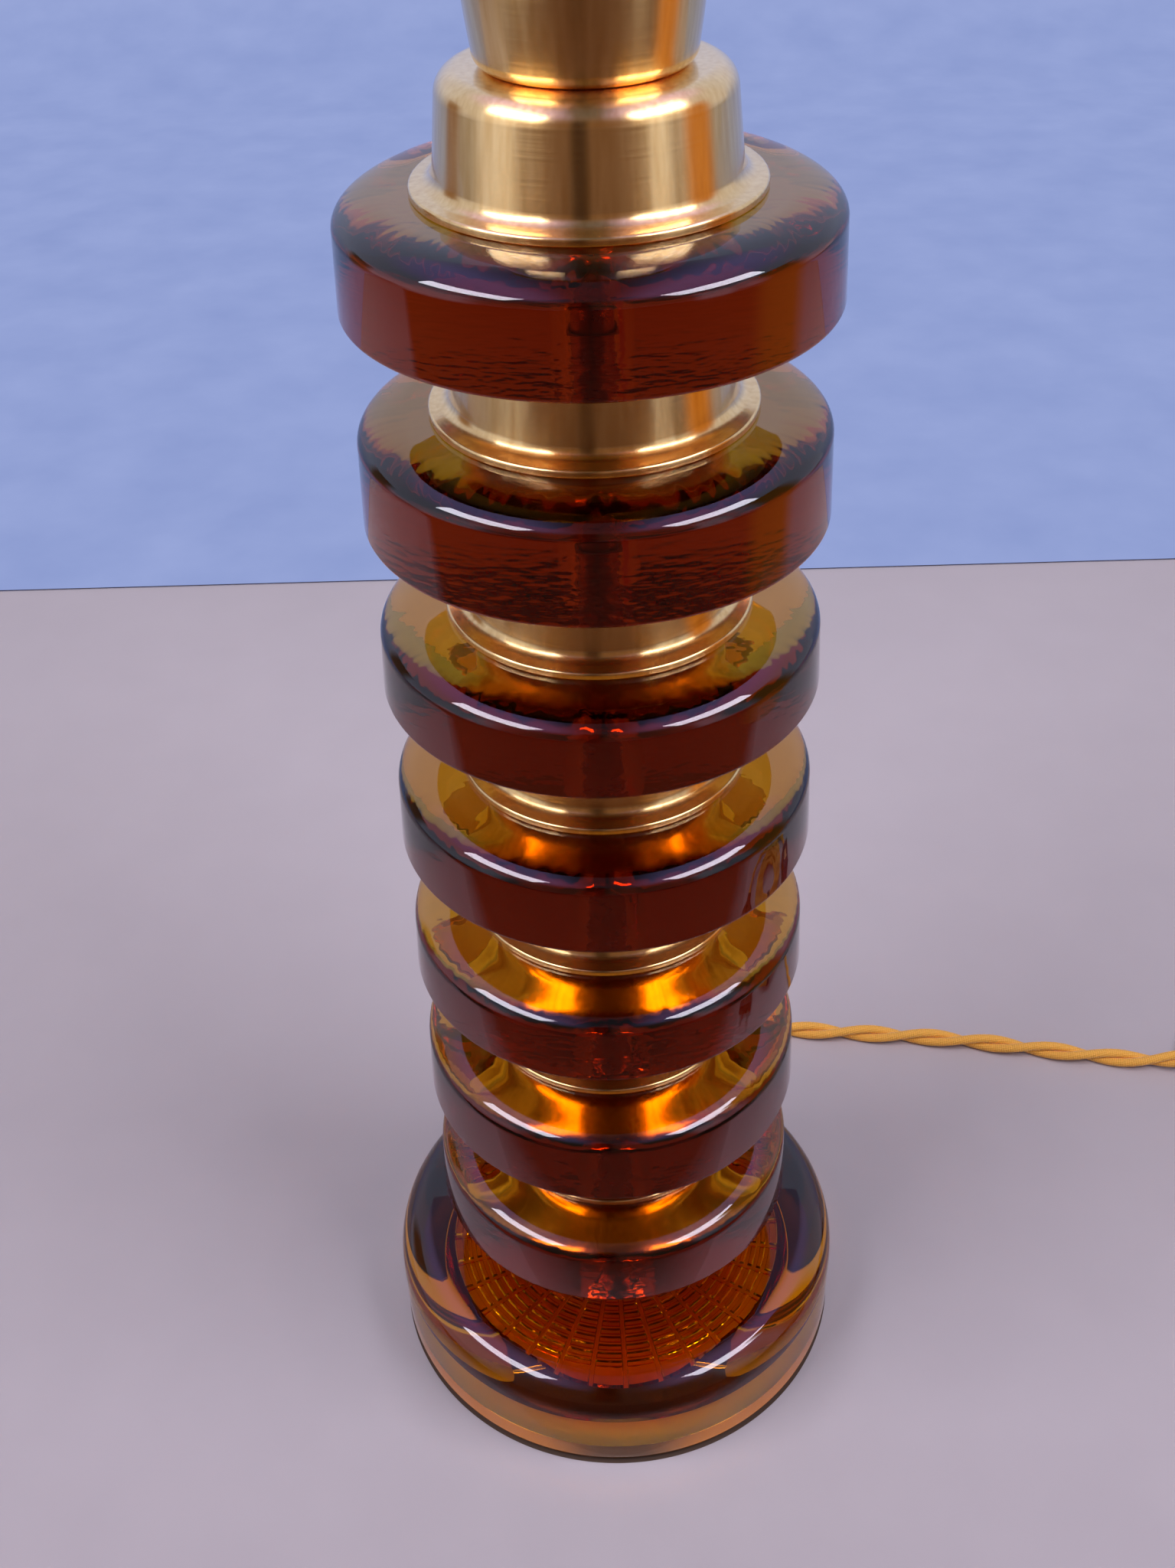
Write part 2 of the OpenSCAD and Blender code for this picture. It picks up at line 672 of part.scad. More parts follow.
module switch_cover() {
    color("#2a1c12") switch_place() difference() {
        switch_shape(base_h, switch_h);
        intersection() {
            translate([0, 0, axle_z]) along_y(2 * well_r, well_w / 2);
            translate([-well_r, -well_r, base_h - 1]) cube([2 * well_r, 2 * well_r, switch_h]);
        }
        translate([0, 0, axle_z]) along_y(axle_d + 2 * pin_gap, well_w / 2 + axle_reach + seat_gap);
        for (s = screw_spots) translate([s.x, s.y, base_h - 1])
            cylinder(d = screw_d + 2 * thread_gap, h = 1 + 4 + seat_gap);
    }
}
module switch_rocker() {
    end_r = well_r - 0.4;
    high_x = sqrt(end_r * end_r - rocker_high * rocker_high);
    low_x = sqrt(end_r * end_r - rocker_low * rocker_low);
    high_a = atan2(rocker_high, high_x);
    low_a = atan2(-rocker_low, low_x);
    arc = [
        for (i = [0:arc_steps])
            let (a = low_a + (high_a - low_a) * i / arc_steps)
            end_r * [cos(a), sin(a)]
    ];
    dip = [for (i = [1:7]) let (s = 1 - i / 4) [high_x * s, rocker_dip + (rocker_high - rocker_dip) * s * s]];
    color("#c8a878") switch_place() translate([0, 0, axle_z]) rotate([0, rocker_tilt, 0]) {
        rotate([90, 0, 0]) translate([0, 0, -rocker_w / 2]) linear_extrude(rocker_w)
            polygon(concat(arc, dip, [for (i = [arc_steps:-1:0]) [-arc[i].x, arc[i].y]]));
        along_y(axle_d, well_w / 2 + axle_reach);
    }
}
module switch_contacts() {
    strip = [8, 6, contact_t];
    z = base_h - contact_pocket.z;
    color("#c8a040") switch_place() for (side = [-1, 1]) translate([side * contact_apart / 2, 0, z]) {
        translate([-strip.x / 2, -strip.y / 2, 0]) cube(strip);
        cylinder(d = 3, h = contact_t + 0.8);
    }
}
module switch_screws() {
    color("silver") switch_place() for (s = screw_spots) translate([s.x, s.y, 0]) difference() {
        union() {
            translate([0, 0, 0.3]) cylinder(d = screw_head_d, h = screw_head_h);
            translate([0, 0, 1]) cylinder(d = screw_d, h = base_h + 3);
        }
        translate([-screw_head_d, -0.4, -0.5]) cube([2 * screw_head_d, 0.8, 1.5]);
    }
}

// Two-pin plug lying flat, with a tapered tail for the cord
module plug_body() {
    w = plug_w / 2;
    t = plug_t / 2;
    back = plug_tail_w / 2;
    neck = plug_neck_w / 2;
    color("#2a1c12") translate([plug_x - plug_len, plug_y, 0]) difference() {
        three_view(
            outline([
                [0, -w, 3], [plug_front_len, -w, 9], [plug_neck_at, -neck, 9], [plug_len, -back, 1],
                [plug_len, back, 1], [plug_neck_at, neck, 9], [plug_front_len, w, 9], [0, w, 3]
            ]),
            outline([
                [0, 0, 2], [plug_front_len, 0, 0], [plug_len, t - back, 1], [plug_len, t + back, 1],
                [plug_front_len, plug_t, 10], [0, plug_t, 2]
            ]),
            outline([[-w, 0, 4], [w, 0, 4], [w, plug_t, 4], [-w, plug_t, 4]]),
            plug_len
        );
        for (x = plug_grips_at, side = [-1, 1]) translate([x, side * (w + plug_grip_d * 0.3), -1])
            cylinder(d = plug_grip_d, h = plug_t + 2);
    }
}
module plug_pins() {
    color("#d8c890") for (side = [-1, 1])
        translate([plug_x - plug_len, plug_y + side * pin_spacing / 2, plug_t / 2]) rotate([0, -90, 0])
            rotate_extrude() polygon(outline([
                [0, 0, 0], [pin_d / 2 - 0.1, 0, 0], [pin_d / 2 - 0.1, pin_sleeve_len, 0],
                [pin_d / 2, pin_sleeve_len, 0], [pin_d / 2, pin_len, 1.2], [0, pin_len, 0]
            ]));
}

foot_glass();
foot_cushion();
foot_washer();
foot_nut();
centre_rod();
top_cup();
cushion_washers();
for (k = [1:disc_count]) spacer(k);
for (k = [1:disc_count]) glass_disc(k);
socket_cup();
top_washer();
top_nut();
holder_cap();
holder_insert();
holder_terminals();
centre_contact();
screw_shell();
holder_sleeve();
shade_ring();
inner_lead();
cord_gland();
cord_run();
switch_base();
switch_cover();
switch_rocker();
switch_contacts();
switch_screws();
cord_lead();
cord_coil();
coil_tie();
cord_tail();
plug_body();
plug_pins();
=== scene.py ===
import json
import math

import bmesh
import bpy
from mathutils import Matrix, Vector


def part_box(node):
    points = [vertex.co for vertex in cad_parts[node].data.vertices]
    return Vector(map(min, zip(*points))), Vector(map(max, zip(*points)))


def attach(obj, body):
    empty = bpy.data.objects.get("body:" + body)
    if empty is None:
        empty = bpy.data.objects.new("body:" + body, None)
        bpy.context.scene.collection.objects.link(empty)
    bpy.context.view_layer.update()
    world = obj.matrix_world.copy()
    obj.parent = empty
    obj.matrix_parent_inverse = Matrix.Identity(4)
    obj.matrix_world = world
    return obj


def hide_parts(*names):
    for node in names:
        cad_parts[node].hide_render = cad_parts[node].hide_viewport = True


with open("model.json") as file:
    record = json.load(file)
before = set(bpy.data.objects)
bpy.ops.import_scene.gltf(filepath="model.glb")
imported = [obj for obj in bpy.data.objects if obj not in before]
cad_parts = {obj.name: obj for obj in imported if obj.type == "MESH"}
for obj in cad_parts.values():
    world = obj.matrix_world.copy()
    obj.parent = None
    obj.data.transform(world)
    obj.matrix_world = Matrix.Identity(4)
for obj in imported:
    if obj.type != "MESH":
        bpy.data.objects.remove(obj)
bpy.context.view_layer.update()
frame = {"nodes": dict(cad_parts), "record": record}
scene = bpy.context.scene
scene.view_settings.view_transform = "Standard"

# Light crosses many glass faces on its way down through the stack of discs
scene.cycles.max_bounces = 32
scene.cycles.transmission_bounces = 32
scene.cycles.glossy_bounces = 12
# The glass stays clear for the light that the floor throws back up into the hollow foot
scene.cycles.blur_glossy = 0

# Sizes are millimetres, as in the part's source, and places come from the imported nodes' boxes
MM = 0.001
TURN_STEPS = 192
SMALL_TURN_STEPS = 96
ARC_STEPS = 8
CURVE_STEPS = 24
SHARP_ANGLE = 35
SEAT_GAP = 0.05

# Glass discs
DISC_COUNT = 7
DISC_DRAFT = 0.7
DISC_EDGE_RUN = 12
DISC_EDGE_DROP = 6
DISC_LOW_ROUND = 1.3
GLASS_BORE_R = 6
WAVY_DISCS = 2
CALM_WAVE = 0.4

# Glass foot
FOOT_TOP_ROUND = 11
FOOT_LOW_ROUND = 4
FOOT_SHARP_ANGLE = 20
HOLLOW_R = 54.5
HOLLOW_MOUTH_R = 58.5
HOLLOW_MOUTH_ROUND = 0.5
HOLLOW_H = 13.5
HOLLOW_STRAIGHT = 3.5
HOLLOW_SHRINK = 0.3
POCKET_R = 19
POCKET_H = 12.5
POCKET_EDGE = 0.4
SPOKE_COUNT = 32
SPOKE_TURN = 2
SPOKE_RIB_H = 1.5
SPOKE_GAP_STEPS = 6
RING_PITCH = 2.9
RING_RIB_H = 1.2
RIB_W = 1.2
RIB_DRAFT = 0.3
NOTCH_IN_Y = 50.5
NOTCH_R = 5.7
NOTCH_BELOW = 1
NOTCH_OVERRUN = 10
GLAND_Z = 6

# Brass cups and their soft washers
RIM_H = 1.8
RIM_LOW_ROUND = 0.3
RIM_HIGH_ROUND = 0.7
CUP_LOW_R = 33
CUP_HIGH_R = 30.8
COVE_ROUND = 3
COVE_LIFT = 0.4
SHOULDER_ROUND = 5
BRASS_T = 1.2
ROD_HOLE_R = 5.3
WASHER_ROUND = 0.2

# Socket cup
NECK_LOW_R = 23.1
NECK_HIGH_R = 26
NECK_LIP = 3.2

# Lampholder
SHELL_PITCH = 3.62
SHELL_LEVELS = 14
SHELL_BORE_R = 13.3
SHELL_WAVE = 0.45
SHELL_SHEET = 0.35
SLEEVE_IN_R = 16.8
SLEEVE_FREE_R = 19.8
SLEEVE_END_ROUND = 0.8
SLEEVE_LIP_R = 14.4
SLEEVE_LIP_H = 5
SLEEVE_LIP_ROUND = 0.5
SLEEVE_PLAIN_START = 0.4
SLEEVE_PLAIN_END = 2.5
SLEEVE_PITCH = 2
SLEEVE_LEVELS = 12
SLEEVE_WAVE = 0.5
RING_HOLE_R = 20.3
RING_HUB_R = 23.3
RING_FLANGE_T = 1.6
RING_EDGE_ROUND = 0.4
RING_HUB_ROUND = 0.6
KNURL_COUNT = 90
KNURL_STEPS = 6
KNURL_DEPTH = 0.4
KNURL_BAND = 0.5

# Gland, lead inside the lamp, and the coil's tie
GLAND_START_Y = 60
GLAND_LEN = 26
GLAND_SEAT = 12.9
GLAND_R = 5.4
GLAND_EDGE = 0.4
GLAND_TIP_R = 4.2
GLAND_TIP_EDGE = 0.3
GLAND_BORE_R = 3.45
GLAND_TURN_STEPS = 72
GROOVE_COUNT = 3
GROOVE_R = 3.8
GROOVE_W = 1.2
GROOVE_DRAFT = 0.1
LEAD_DIP_START_Y = 54
LEAD_DIP_END_Y = 42
LEAD_FLAT_END_Y = 28
LEAD_LOW_Z = 5.5
LEAD_BEND = 12.5
LEAD_BEND_STEPS = 6
LEAD_RISE_STEP = 4
TIE_T = 0.8
TIE_ROUND = 2.2
TIE_EDGE_T = 0.2
TIE_EDGE_W = 0.3
TIE_STEP = 1
TIE_LAP = 12
TIE_LAP_RISE = 4
TIE_LAP_LIFT = 1.05

# Twisted cord
CORD_STEP = 1.6
CORD_TUCK = 3
STRAND_R = 1.7
STRAND_LAY = 48
STRAND_SIDES = 12
STRAND_SHARP_ANGLE = 60
THREAD_PITCH = 1.6
THREADS_ROUND = 6

# Floor cloth: painted contact shade under the foot's rim, and painted shade round it seen through glass
CONTACT_SHADE_R = 65.5
CONTACT_SHADE_HALF_W = 7.5
SHADE_FRINGE_W = 45


# Colours and nodes

def linear(code):
    """An sRGB hex value as Blender's linear colour."""
    shares = [int(code[i:i + 2], 16) / 255 for i in (1, 3, 5)]
    return [s / 12.92 if s <= 0.04045 else ((s + 0.055) / 1.055) ** 2.4 for s in shares] + [1.0]


def add(tree, kind, inputs=(), **settings):
    """Adds a shader node with its settings and fills its sockets with values or links. Mix mixes colours."""
    node = tree.nodes.new("ShaderNode" + kind)
    if kind == "Mix":
        node.data_type = "RGBA"
    for name, value in settings.items():
        setattr(node, name, value)
    for socket, value in dict(inputs).items():
        if isinstance(value, bpy.types.NodeSocket):
            tree.links.new(value, node.inputs[socket])
        else:
            node.inputs[socket].default_value = value
    return node


def new_material(name):
    """A material, its node tree to fill, and a socket with a point's place on the piece in metres."""
    material = bpy.data.materials.new(name)
    material.use_nodes = True
    tree = material.node_tree
    tree.nodes.clear()
    return material, tree, add(tree, "TexCoord").outputs["Object"]


# Materials

def amber_glass(name, passed, density, stain):
    """Soda-lime glass coloured amber in the melt, pressed and fire polished.
    Thin edges show golden and thick stretches deep red-brown, by the shares of red, green and blue that are
    passed on. The skin is glossy, with faint ripples about 25 mm long. The chilled underside has 4 mm waves,
    so that what is seen through it has ragged edges, and it may carry a stain."""
    material, tree, place = new_material(name)
    ripple = add(tree, "TexNoise", {"Vector": place, "Scale": 1 / (25 * MM), "Detail": 1.0})
    skin = add(tree, "Bump", {"Height": ripple.outputs["Fac"], "Strength": 0.06, "Distance": 0.4 * MM})
    wave = add(tree, "TexNoise", {"Vector": place, "Scale": 1 / (4 * MM), "Detail": 1.0})
    underside = add(tree, "Attribute", attribute_name="underside").outputs["Fac"]
    chill = add(tree, "Math", {0: wave.outputs["Fac"], 1: underside}, operation="MULTIPLY").outputs[0]
    face = add(tree, "Bump", {"Height": chill, "Strength": 1.0, "Distance": 0.22 * MM,
                              "Normal": skin.outputs["Normal"]})
    clear = add(tree, "Mix", {0: underside, 6: UNSTAINED, 7: stain})
    glass = add(tree, "BsdfPrincipled", {
        "Base Color": clear.outputs[2], "Roughness": 0.015, "IOR": 1.52, "Transmission Weight": 1.0,
        "Normal": face.outputs["Normal"],
    })
    tint = add(tree, "VolumeAbsorption", {"Color": passed, "Density": density})
    add(tree, "OutputMaterial", {"Surface": glass.outputs[0], "Volume": tint.outputs[0]})
    return material


def spun_brass():
    """Brass sheet spun on a lathe and satin polished: soft streaks up the walls, fine polishing rings and a
    clear lacquer. The streaks are painted reflections in the colour, 1.5 mm wide, and the rings are drawn at
    0.6 mm, coarser than real ones, so that they show."""
    material, tree, place = new_material("spun_satin_brass")
    height = add(tree, "SeparateXYZ", {"Vector": place}).outputs["Z"]
    flat = add(tree, "VectorMath", {0: place, 1: (1, 1, 0)}, operation="MULTIPLY").outputs["Vector"]
    radius = add(tree, "VectorMath", {0: flat}, operation="LENGTH").outputs["Value"]
    along = add(tree, "Math", {0: radius, 1: 0.7, 2: height}, operation="MULTIPLY_ADD").outputs["Value"]
    rings = add(tree, "TexNoise", {"W": along, "Scale": 1 / (0.6 * MM), "Detail": 2.0},
                noise_dimensions="1D")
    # Painted reflection: pale and dark streaks up the walls in the brass colour
    upright = add(tree, "VectorMath", {0: place, 1: (1, 1, 0.03)}, operation="MULTIPLY").outputs["Vector"]
    reflection_streak = add(tree, "TexNoise", {"Vector": upright, "Scale": 1 / (1.5 * MM), "Detail": 3.0})
    colour = add(tree, "Mix", {0: reflection_streak.outputs["Fac"], 6: linear("#fcdc9c"), 7: linear("#d6a85c")})
    rough = add(tree, "MapRange", {"Value": rings.outputs["Fac"], "To Min": 0.19, "To Max": 0.28})
    groove = add(tree, "Bump", {"Height": rings.outputs["Fac"], "Strength": 0.02, "Distance": 0.02 * MM})
    tangent = add(tree, "Tangent", direction_type="RADIAL", axis="Z")
    brass = add(tree, "BsdfPrincipled", {
        "Base Color": colour.outputs[2], "Metallic": 1.0, "Roughness": rough.outputs["Result"],
        "Anisotropic": 0.85, "Anisotropic Rotation": 0.25, "Tangent": tangent.outputs[0],
        "Coat Weight": 0.6, "Coat Roughness": 0.05, "Normal": groove.outputs["Normal"],
    })
    add(tree, "OutputMaterial", {"Surface": brass.outputs[0]})
    return material


def rubbed_metal(name, base, shade, patch_mm, detail, low_rough, high_rough):
    """Turned or stamped brass, bare or nickel plated: plain metal with dull patches from handling."""
    material, tree, place = new_material(name)
    rub = add(tree, "TexNoise", {"Vector": place, "Scale": 1 / (patch_mm * MM), "Detail": detail})
    colour = add(tree, "Mix", {0: rub.outputs["Fac"], 6: linear(base), 7: linear(shade)})
    rough = add(tree, "MapRange", {"Value": rub.outputs["Fac"], "To Min": low_rough, "To Max": high_rough})
    metal = add(tree, "BsdfPrincipled", {
        "Base Color": colour.outputs[2], "Metallic": 1.0, "Roughness": rough.outputs["Result"],
    })
    add(tree, "OutputMaterial", {"Surface": metal.outputs[0]})
    return material


def zinc_steel():
    """Steel stamped and zinc plated: pale bluish grey with a faint spangle."""
    material, tree, place = new_material("zinc_plated_steel")
    spangle = add(tree, "TexVoronoi", {"Vector": place, "Scale": 1 / (1.5 * MM)})
    rough = add(tree, "MapRange", {"Value": spangle.outputs["Distance"], "To Min": 0.26, "To Max": 0.42})
    colour = add(tree, "Mix", {0: spangle.outputs["Distance"], 6: linear("#c4c6cc"), 7: linear("#a6a8ae")})
    steel = add(tree, "BsdfPrincipled", {
        "Base Color": colour.outputs[2], "Metallic": 1.0, "Roughness": rough.outputs["Result"],
    })
    add(tree, "OutputMaterial", {"Surface": steel.outputs[0]})
    return material


def moulding(name, base, shade, grain_mm, low_rough, high_rough, ior):
    """Moulded plastic or rubber: one colour through, gloss that varies a little, edges that left the mould
    0.5 mm round, and a fine eroded grain, drawn coarser than a real one so that it shows."""
    material, tree, place = new_material(name)
    grain = add(tree, "TexNoise", {"Vector": place, "Scale": 1 / (grain_mm * MM), "Detail": 2.0})
    cloud = add(tree, "TexNoise", {"Vector": place, "Scale": 1 / (12 * MM), "Detail": 2.0})
    colour = add(tree, "Mix", {0: cloud.outputs["Fac"], 6: linear(base), 7: linear(shade)})
    rough = add(tree, "MapRange", {"Value": cloud.outputs["Fac"], "To Min": low_rough, "To Max": high_rough})
    edge = add(tree, "Bevel", {"Radius": 0.5 * MM}, samples=6)
    skin = add(tree, "Bump", {"Height": grain.outputs["Fac"], "Strength": 0.2, "Distance": 0.05 * MM,
                              "Normal": edge.outputs["Normal"]})
    body = add(tree, "BsdfPrincipled", {
        "Base Color": colour.outputs[2], "Roughness": rough.outputs["Result"], "IOR": ior,
        "Normal": skin.outputs["Normal"],
    })
    add(tree, "OutputMaterial", {"Surface": body.outputs[0]})
    return material


def porcelain():
    """Electrical porcelain, pressed and glazed: cream white with a glassy skin and faint pits."""
    material, tree, place = new_material("glazed_porcelain")
    cloud = add(tree, "TexNoise", {"Vector": place, "Scale": 1 / (6 * MM), "Detail": 2.0})
    colour = add(tree, "Mix", {0: cloud.outputs["Fac"], 6: linear("#efe9dc"), 7: linear("#e2dac8")})
    skin = add(tree, "Bump", {"Height": cloud.outputs["Fac"], "Strength": 0.1, "Distance": 0.1 * MM})
    glaze = add(tree, "BsdfPrincipled", {
        "Base Color": colour.outputs[2], "Roughness": 0.12, "IOR": 1.52, "Normal": skin.outputs["Normal"],
    })
    add(tree, "OutputMaterial", {"Surface": glaze.outputs[0]})
    return material


def textile_braid():
    """Golden rayon braid over each core: threads of both slants cross in small lozenges, with painted light
    on their crowns and painted shade between them.
    They are coarser than real ones so that they show. The mesh's UV gives millimetres along a strand and
    turns round it."""
    material, tree, place = new_material("golden_textile_braid")
    spot = add(tree, "SeparateXYZ", {"Vector": add(tree, "UVMap", uv_map="strand").outputs["UV"]})
    each_mm = 2 * math.pi / THREAD_PITCH
    each_turn = 2 * math.pi * THREADS_ROUND
    along = add(tree, "Math", {0: spot.outputs["X"], 1: each_mm}, operation="MULTIPLY").outputs[0]
    about = add(tree, "Math", {0: spot.outputs["Y"], 1: each_turn}, operation="MULTIPLY").outputs[0]
    left = add(tree, "Math", {0: along, 1: about}, operation="ADD").outputs[0]
    right = add(tree, "Math", {0: along, 1: about}, operation="SUBTRACT").outputs[0]
    left_wave = add(tree, "Math", {0: left}, operation="SINE").outputs[0]
    right_wave = add(tree, "Math", {0: right}, operation="SINE").outputs[0]
    lozenge = add(tree, "Math", {0: left_wave, 1: right_wave}, operation="MULTIPLY").outputs[0]
    share = add(tree, "MapRange", {"Value": lozenge, "From Min": -1.0, "From Max": 1.0})
    wear = add(tree, "TexNoise", {"Vector": place, "Scale": 1 / (9 * MM)})
    # Painted light and shade: the threads' crowns paler, the dips between them darker
    thread = add(tree, "Mix", {0: share.outputs["Result"], 6: linear("#de9626"), 7: linear("#ffc254")})
    colour = add(tree, "Mix", {0: wear.outputs["Fac"], 6: thread.outputs[2], 7: linear("#f4ae40")})
    weave = add(tree, "Bump", {"Height": share.outputs["Result"], "Strength": 1.0, "Distance": 0.2 * MM})
    braid = add(tree, "BsdfPrincipled", {
        "Base Color": colour.outputs[2], "Roughness": 0.62, "Sheen Weight": 0.35, "Sheen Roughness": 0.4,
        "Normal": weave.outputs["Normal"],
    })
    add(tree, "OutputMaterial", {"Surface": braid.outputs[0]})
    return material


def woven_band():
    """Woven polyester tie: dark brown and matt, with ribs along the band about 2 mm apart, since the texture
    has one every 0.314 of its units."""
    material, tree, place = new_material("woven_tie_band")
    ribs = add(tree, "TexWave", {"Vector": place, "Scale": 1 / (6.28 * MM), "Distortion": 1.0},
               bands_direction="Y")
    colour = add(tree, "Mix", {0: ribs.outputs["Fac"], 6: linear("#2c2018"), 7: linear("#4a3828")})
    weave = add(tree, "Bump", {"Height": ribs.outputs["Fac"], "Strength": 0.5, "Distance": 0.15 * MM})
    band = add(tree, "BsdfPrincipled", {
        "Base Color": colour.outputs[2], "Roughness": 0.85, "Sheen Weight": 0.3,
        "Normal": weave.outputs["Normal"],
    })
    add(tree, "OutputMaterial", {"Surface": band.outputs[0]})
    return material


def floor_cloth(name, near, far, pressed, glow, shade_fringe):
    """Plain studio floor cloth: a pale colour with a faint mottle, paler away from the viewer.
    The paler back is painted light that evens out the lamps' fall-off. The cloth also carries dark painted
    contact shade where the glass rim stands on it, painted yellow light inside the rim for the light that the
    foot gathers there, and painted brown shade just outside the rim where it is seen through the glass."""
    material, tree, place = new_material(name)
    mottle = add(tree, "TexNoise", {"Vector": place, "Scale": 1 / (35 * MM), "Detail": 6.0})
    # Painted light: paler away from the viewer, to even out the lamps' fall-off towards the back
    depth = add(tree, "SeparateXYZ", {"Vector": place}).outputs["Y"]
    share = add(tree, "MapRange", {"Value": depth, "From Min": -0.2, "From Max": 0.35, "To Max": 0.8})
    paler = add(tree, "Math", {0: mottle.outputs["Fac"], 1: 0.2, 2: share.outputs["Result"]},
                operation="MULTIPLY_ADD").outputs[0]
    colour = add(tree, "Mix", {0: paler, 6: linear(near), 7: linear(far)})
    flat = add(tree, "VectorMath", {0: place, 1: (1, 1, 0)}, operation="MULTIPLY").outputs["Vector"]
    radius = add(tree, "VectorMath", {0: flat}, operation="LENGTH").outputs["Value"]
    # Painted contact shade: a dark ring where the glass rim stands
    rim = add(tree, "Math", {0: radius, 1: CONTACT_SHADE_R * MM, 2: CONTACT_SHADE_HALF_W * MM}, operation="COMPARE")
    # Painted light: yellow inside the rim, for the light that the foot gathers there
    inside = add(tree, "Math", {0: radius, 1: (CONTACT_SHADE_R - CONTACT_SHADE_HALF_W) * MM}, operation="LESS_THAN")
    painted_glow = add(tree, "Mix", {0: inside.outputs[0], 6: colour.outputs[2], 7: linear(glow)})
    contact_shaded = add(tree, "Mix", {0: rim.outputs[0], 6: painted_glow.outputs[2], 7: linear(pressed)})
    # Painted shade: a brown ring just outside the rim, shown only to rays through the glass
    shade_fringe_r = CONTACT_SHADE_R + CONTACT_SHADE_HALF_W + SHADE_FRINGE_W / 2
    close = add(tree, "Math", {0: radius, 1: shade_fringe_r * MM, 2: SHADE_FRINGE_W / 2 * MM}, operation="COMPARE")
    through = add(tree, "LightPath").outputs["Is Transmission Ray"]
    brown = add(tree, "Math", {0: close.outputs[0], 1: through}, operation="MULTIPLY").outputs[0]
    shade_fringed = add(tree, "Mix", {0: brown, 6: contact_shaded.outputs[2], 7: linear(shade_fringe)})
    cloth = add(tree, "BsdfPrincipled", {"Base Color": shade_fringed.outputs[2], "Roughness": 0.95})
    add(tree, "OutputMaterial", {"Surface": cloth.outputs[0]})
    return material


def seen_share(tree):
    """1 for rays that show a surface, straight, reflected or through glass, and 0 for those that light."""
    rays = add(tree, "LightPath").outputs
    bare = add(tree, "Math", {0: rays["Is Camera Ray"], 1: rays["Is Glossy Ray"]}, operation="MAXIMUM")
    shown = add(tree, "Math", {0: bare.outputs[0], 1: rays["Is Transmission Ray"]}, operation="MAXIMUM")
    first = add(tree, "Math", {0: rays["Diffuse Depth"], 1: 0.5}, operation="LESS_THAN")
    return add(tree, "Math", {0: shown.outputs[0], 1: first.outputs[0]}, operation="MULTIPLY").outputs[0]


def sweep_cloth():
    """Pale blue backdrop cloth, whose brightness doesn't light the object. It is paler towards its top, which
    is painted light.
    """
    material, tree, place = new_material("pale_blue_sweep")
    mottle = add(tree, "TexNoise", {"Vector": place, "Scale": 1 / (60 * MM), "Detail": 5.0})
    low = add(tree, "Mix", {0: mottle.outputs["Fac"], 6: linear("#8797cc"), 7: linear("#9dabdc")})
    # Painted light: the cloth grows paler towards its top
    rise = add(tree, "MapRange", {"Value": add(tree, "SeparateXYZ", {"Vector": place}).outputs["Z"],
                                  "From Min": 0.02, "From Max": 1.0})
    colour = add(tree, "Mix", {0: rise.outputs["Result"], 6: low.outputs[2], 7: linear("#d4dcff")})
    cloth = add(tree, "BsdfDiffuse", {"Color": colour.outputs[2]})
    shown = add(tree, "Emission", {"Color": colour.outputs[2], "Strength": 1.0})
    surface = add(tree, "MixShader", {0: seen_share(tree), 1: cloth.outputs[0], 2: shown.outputs[0]})
    add(tree, "OutputMaterial", {"Surface": surface.outputs[0]})
    return material


UNSTAINED = (1, 1, 1, 1)
FINISH = {
    "amber_glass": amber_glass("pressed_amber_glass", passed=(0.885, 0.71, 0.0, 1), density=150.0,
                               stain=UNSTAINED),
    "spun_brass": spun_brass(),
    "turned_brass": rubbed_metal("turned_plain_brass", "#d8b060", "#b88a42", patch_mm=4, detail=4.0,
                                 low_rough=0.2, high_rough=0.38),
    "zinc_steel": zinc_steel(),
    "rubber": moulding("cut_rubber_sheet", "#2e2824", "#26211e", grain_mm=0.5,
                       low_rough=0.6, high_rough=0.75, ior=1.52),
    "gland_rubber": moulding("moulded_soft_rubber", "#5a3620", "#4c2c18", grain_mm=0.5,
                             low_rough=0.5, high_rough=0.65, ior=1.52),
    "soft_washer": moulding("die_cut_soft_plastic", "#d8cfb8", "#cbbfa0", grain_mm=0.8,
                            low_rough=0.3, high_rough=0.45, ior=1.5),
    "dark_moulding": moulding("moulded_thermoset", "#35241a", "#2a1c13", grain_mm=0.6,
                              low_rough=0.22, high_rough=0.34, ior=1.55),
    "rocker_moulding": moulding("moulded_rocker_plastic", "#c9a878", "#bd9a68", grain_mm=0.6,
                                low_rough=0.25, high_rough=0.38, ior=1.5),
    "porcelain": porcelain(),
    "textile_cord": textile_braid(),
    "tie_fabric": woven_band(),
    "nickel_plate": rubbed_metal("nickel_plated_brass", "#d0ccc0", "#b8b2a4", patch_mm=1.2, detail=5.0,
                                 low_rough=0.1, high_rough=0.3),
}
FOOT_FINISH = amber_glass("pressed_amber_glass_stained", passed=(0.91, 0.775, 0.0, 1), density=150.0,
                          stain=(1, 0.15, 0.05, 1))


# Mesh tools

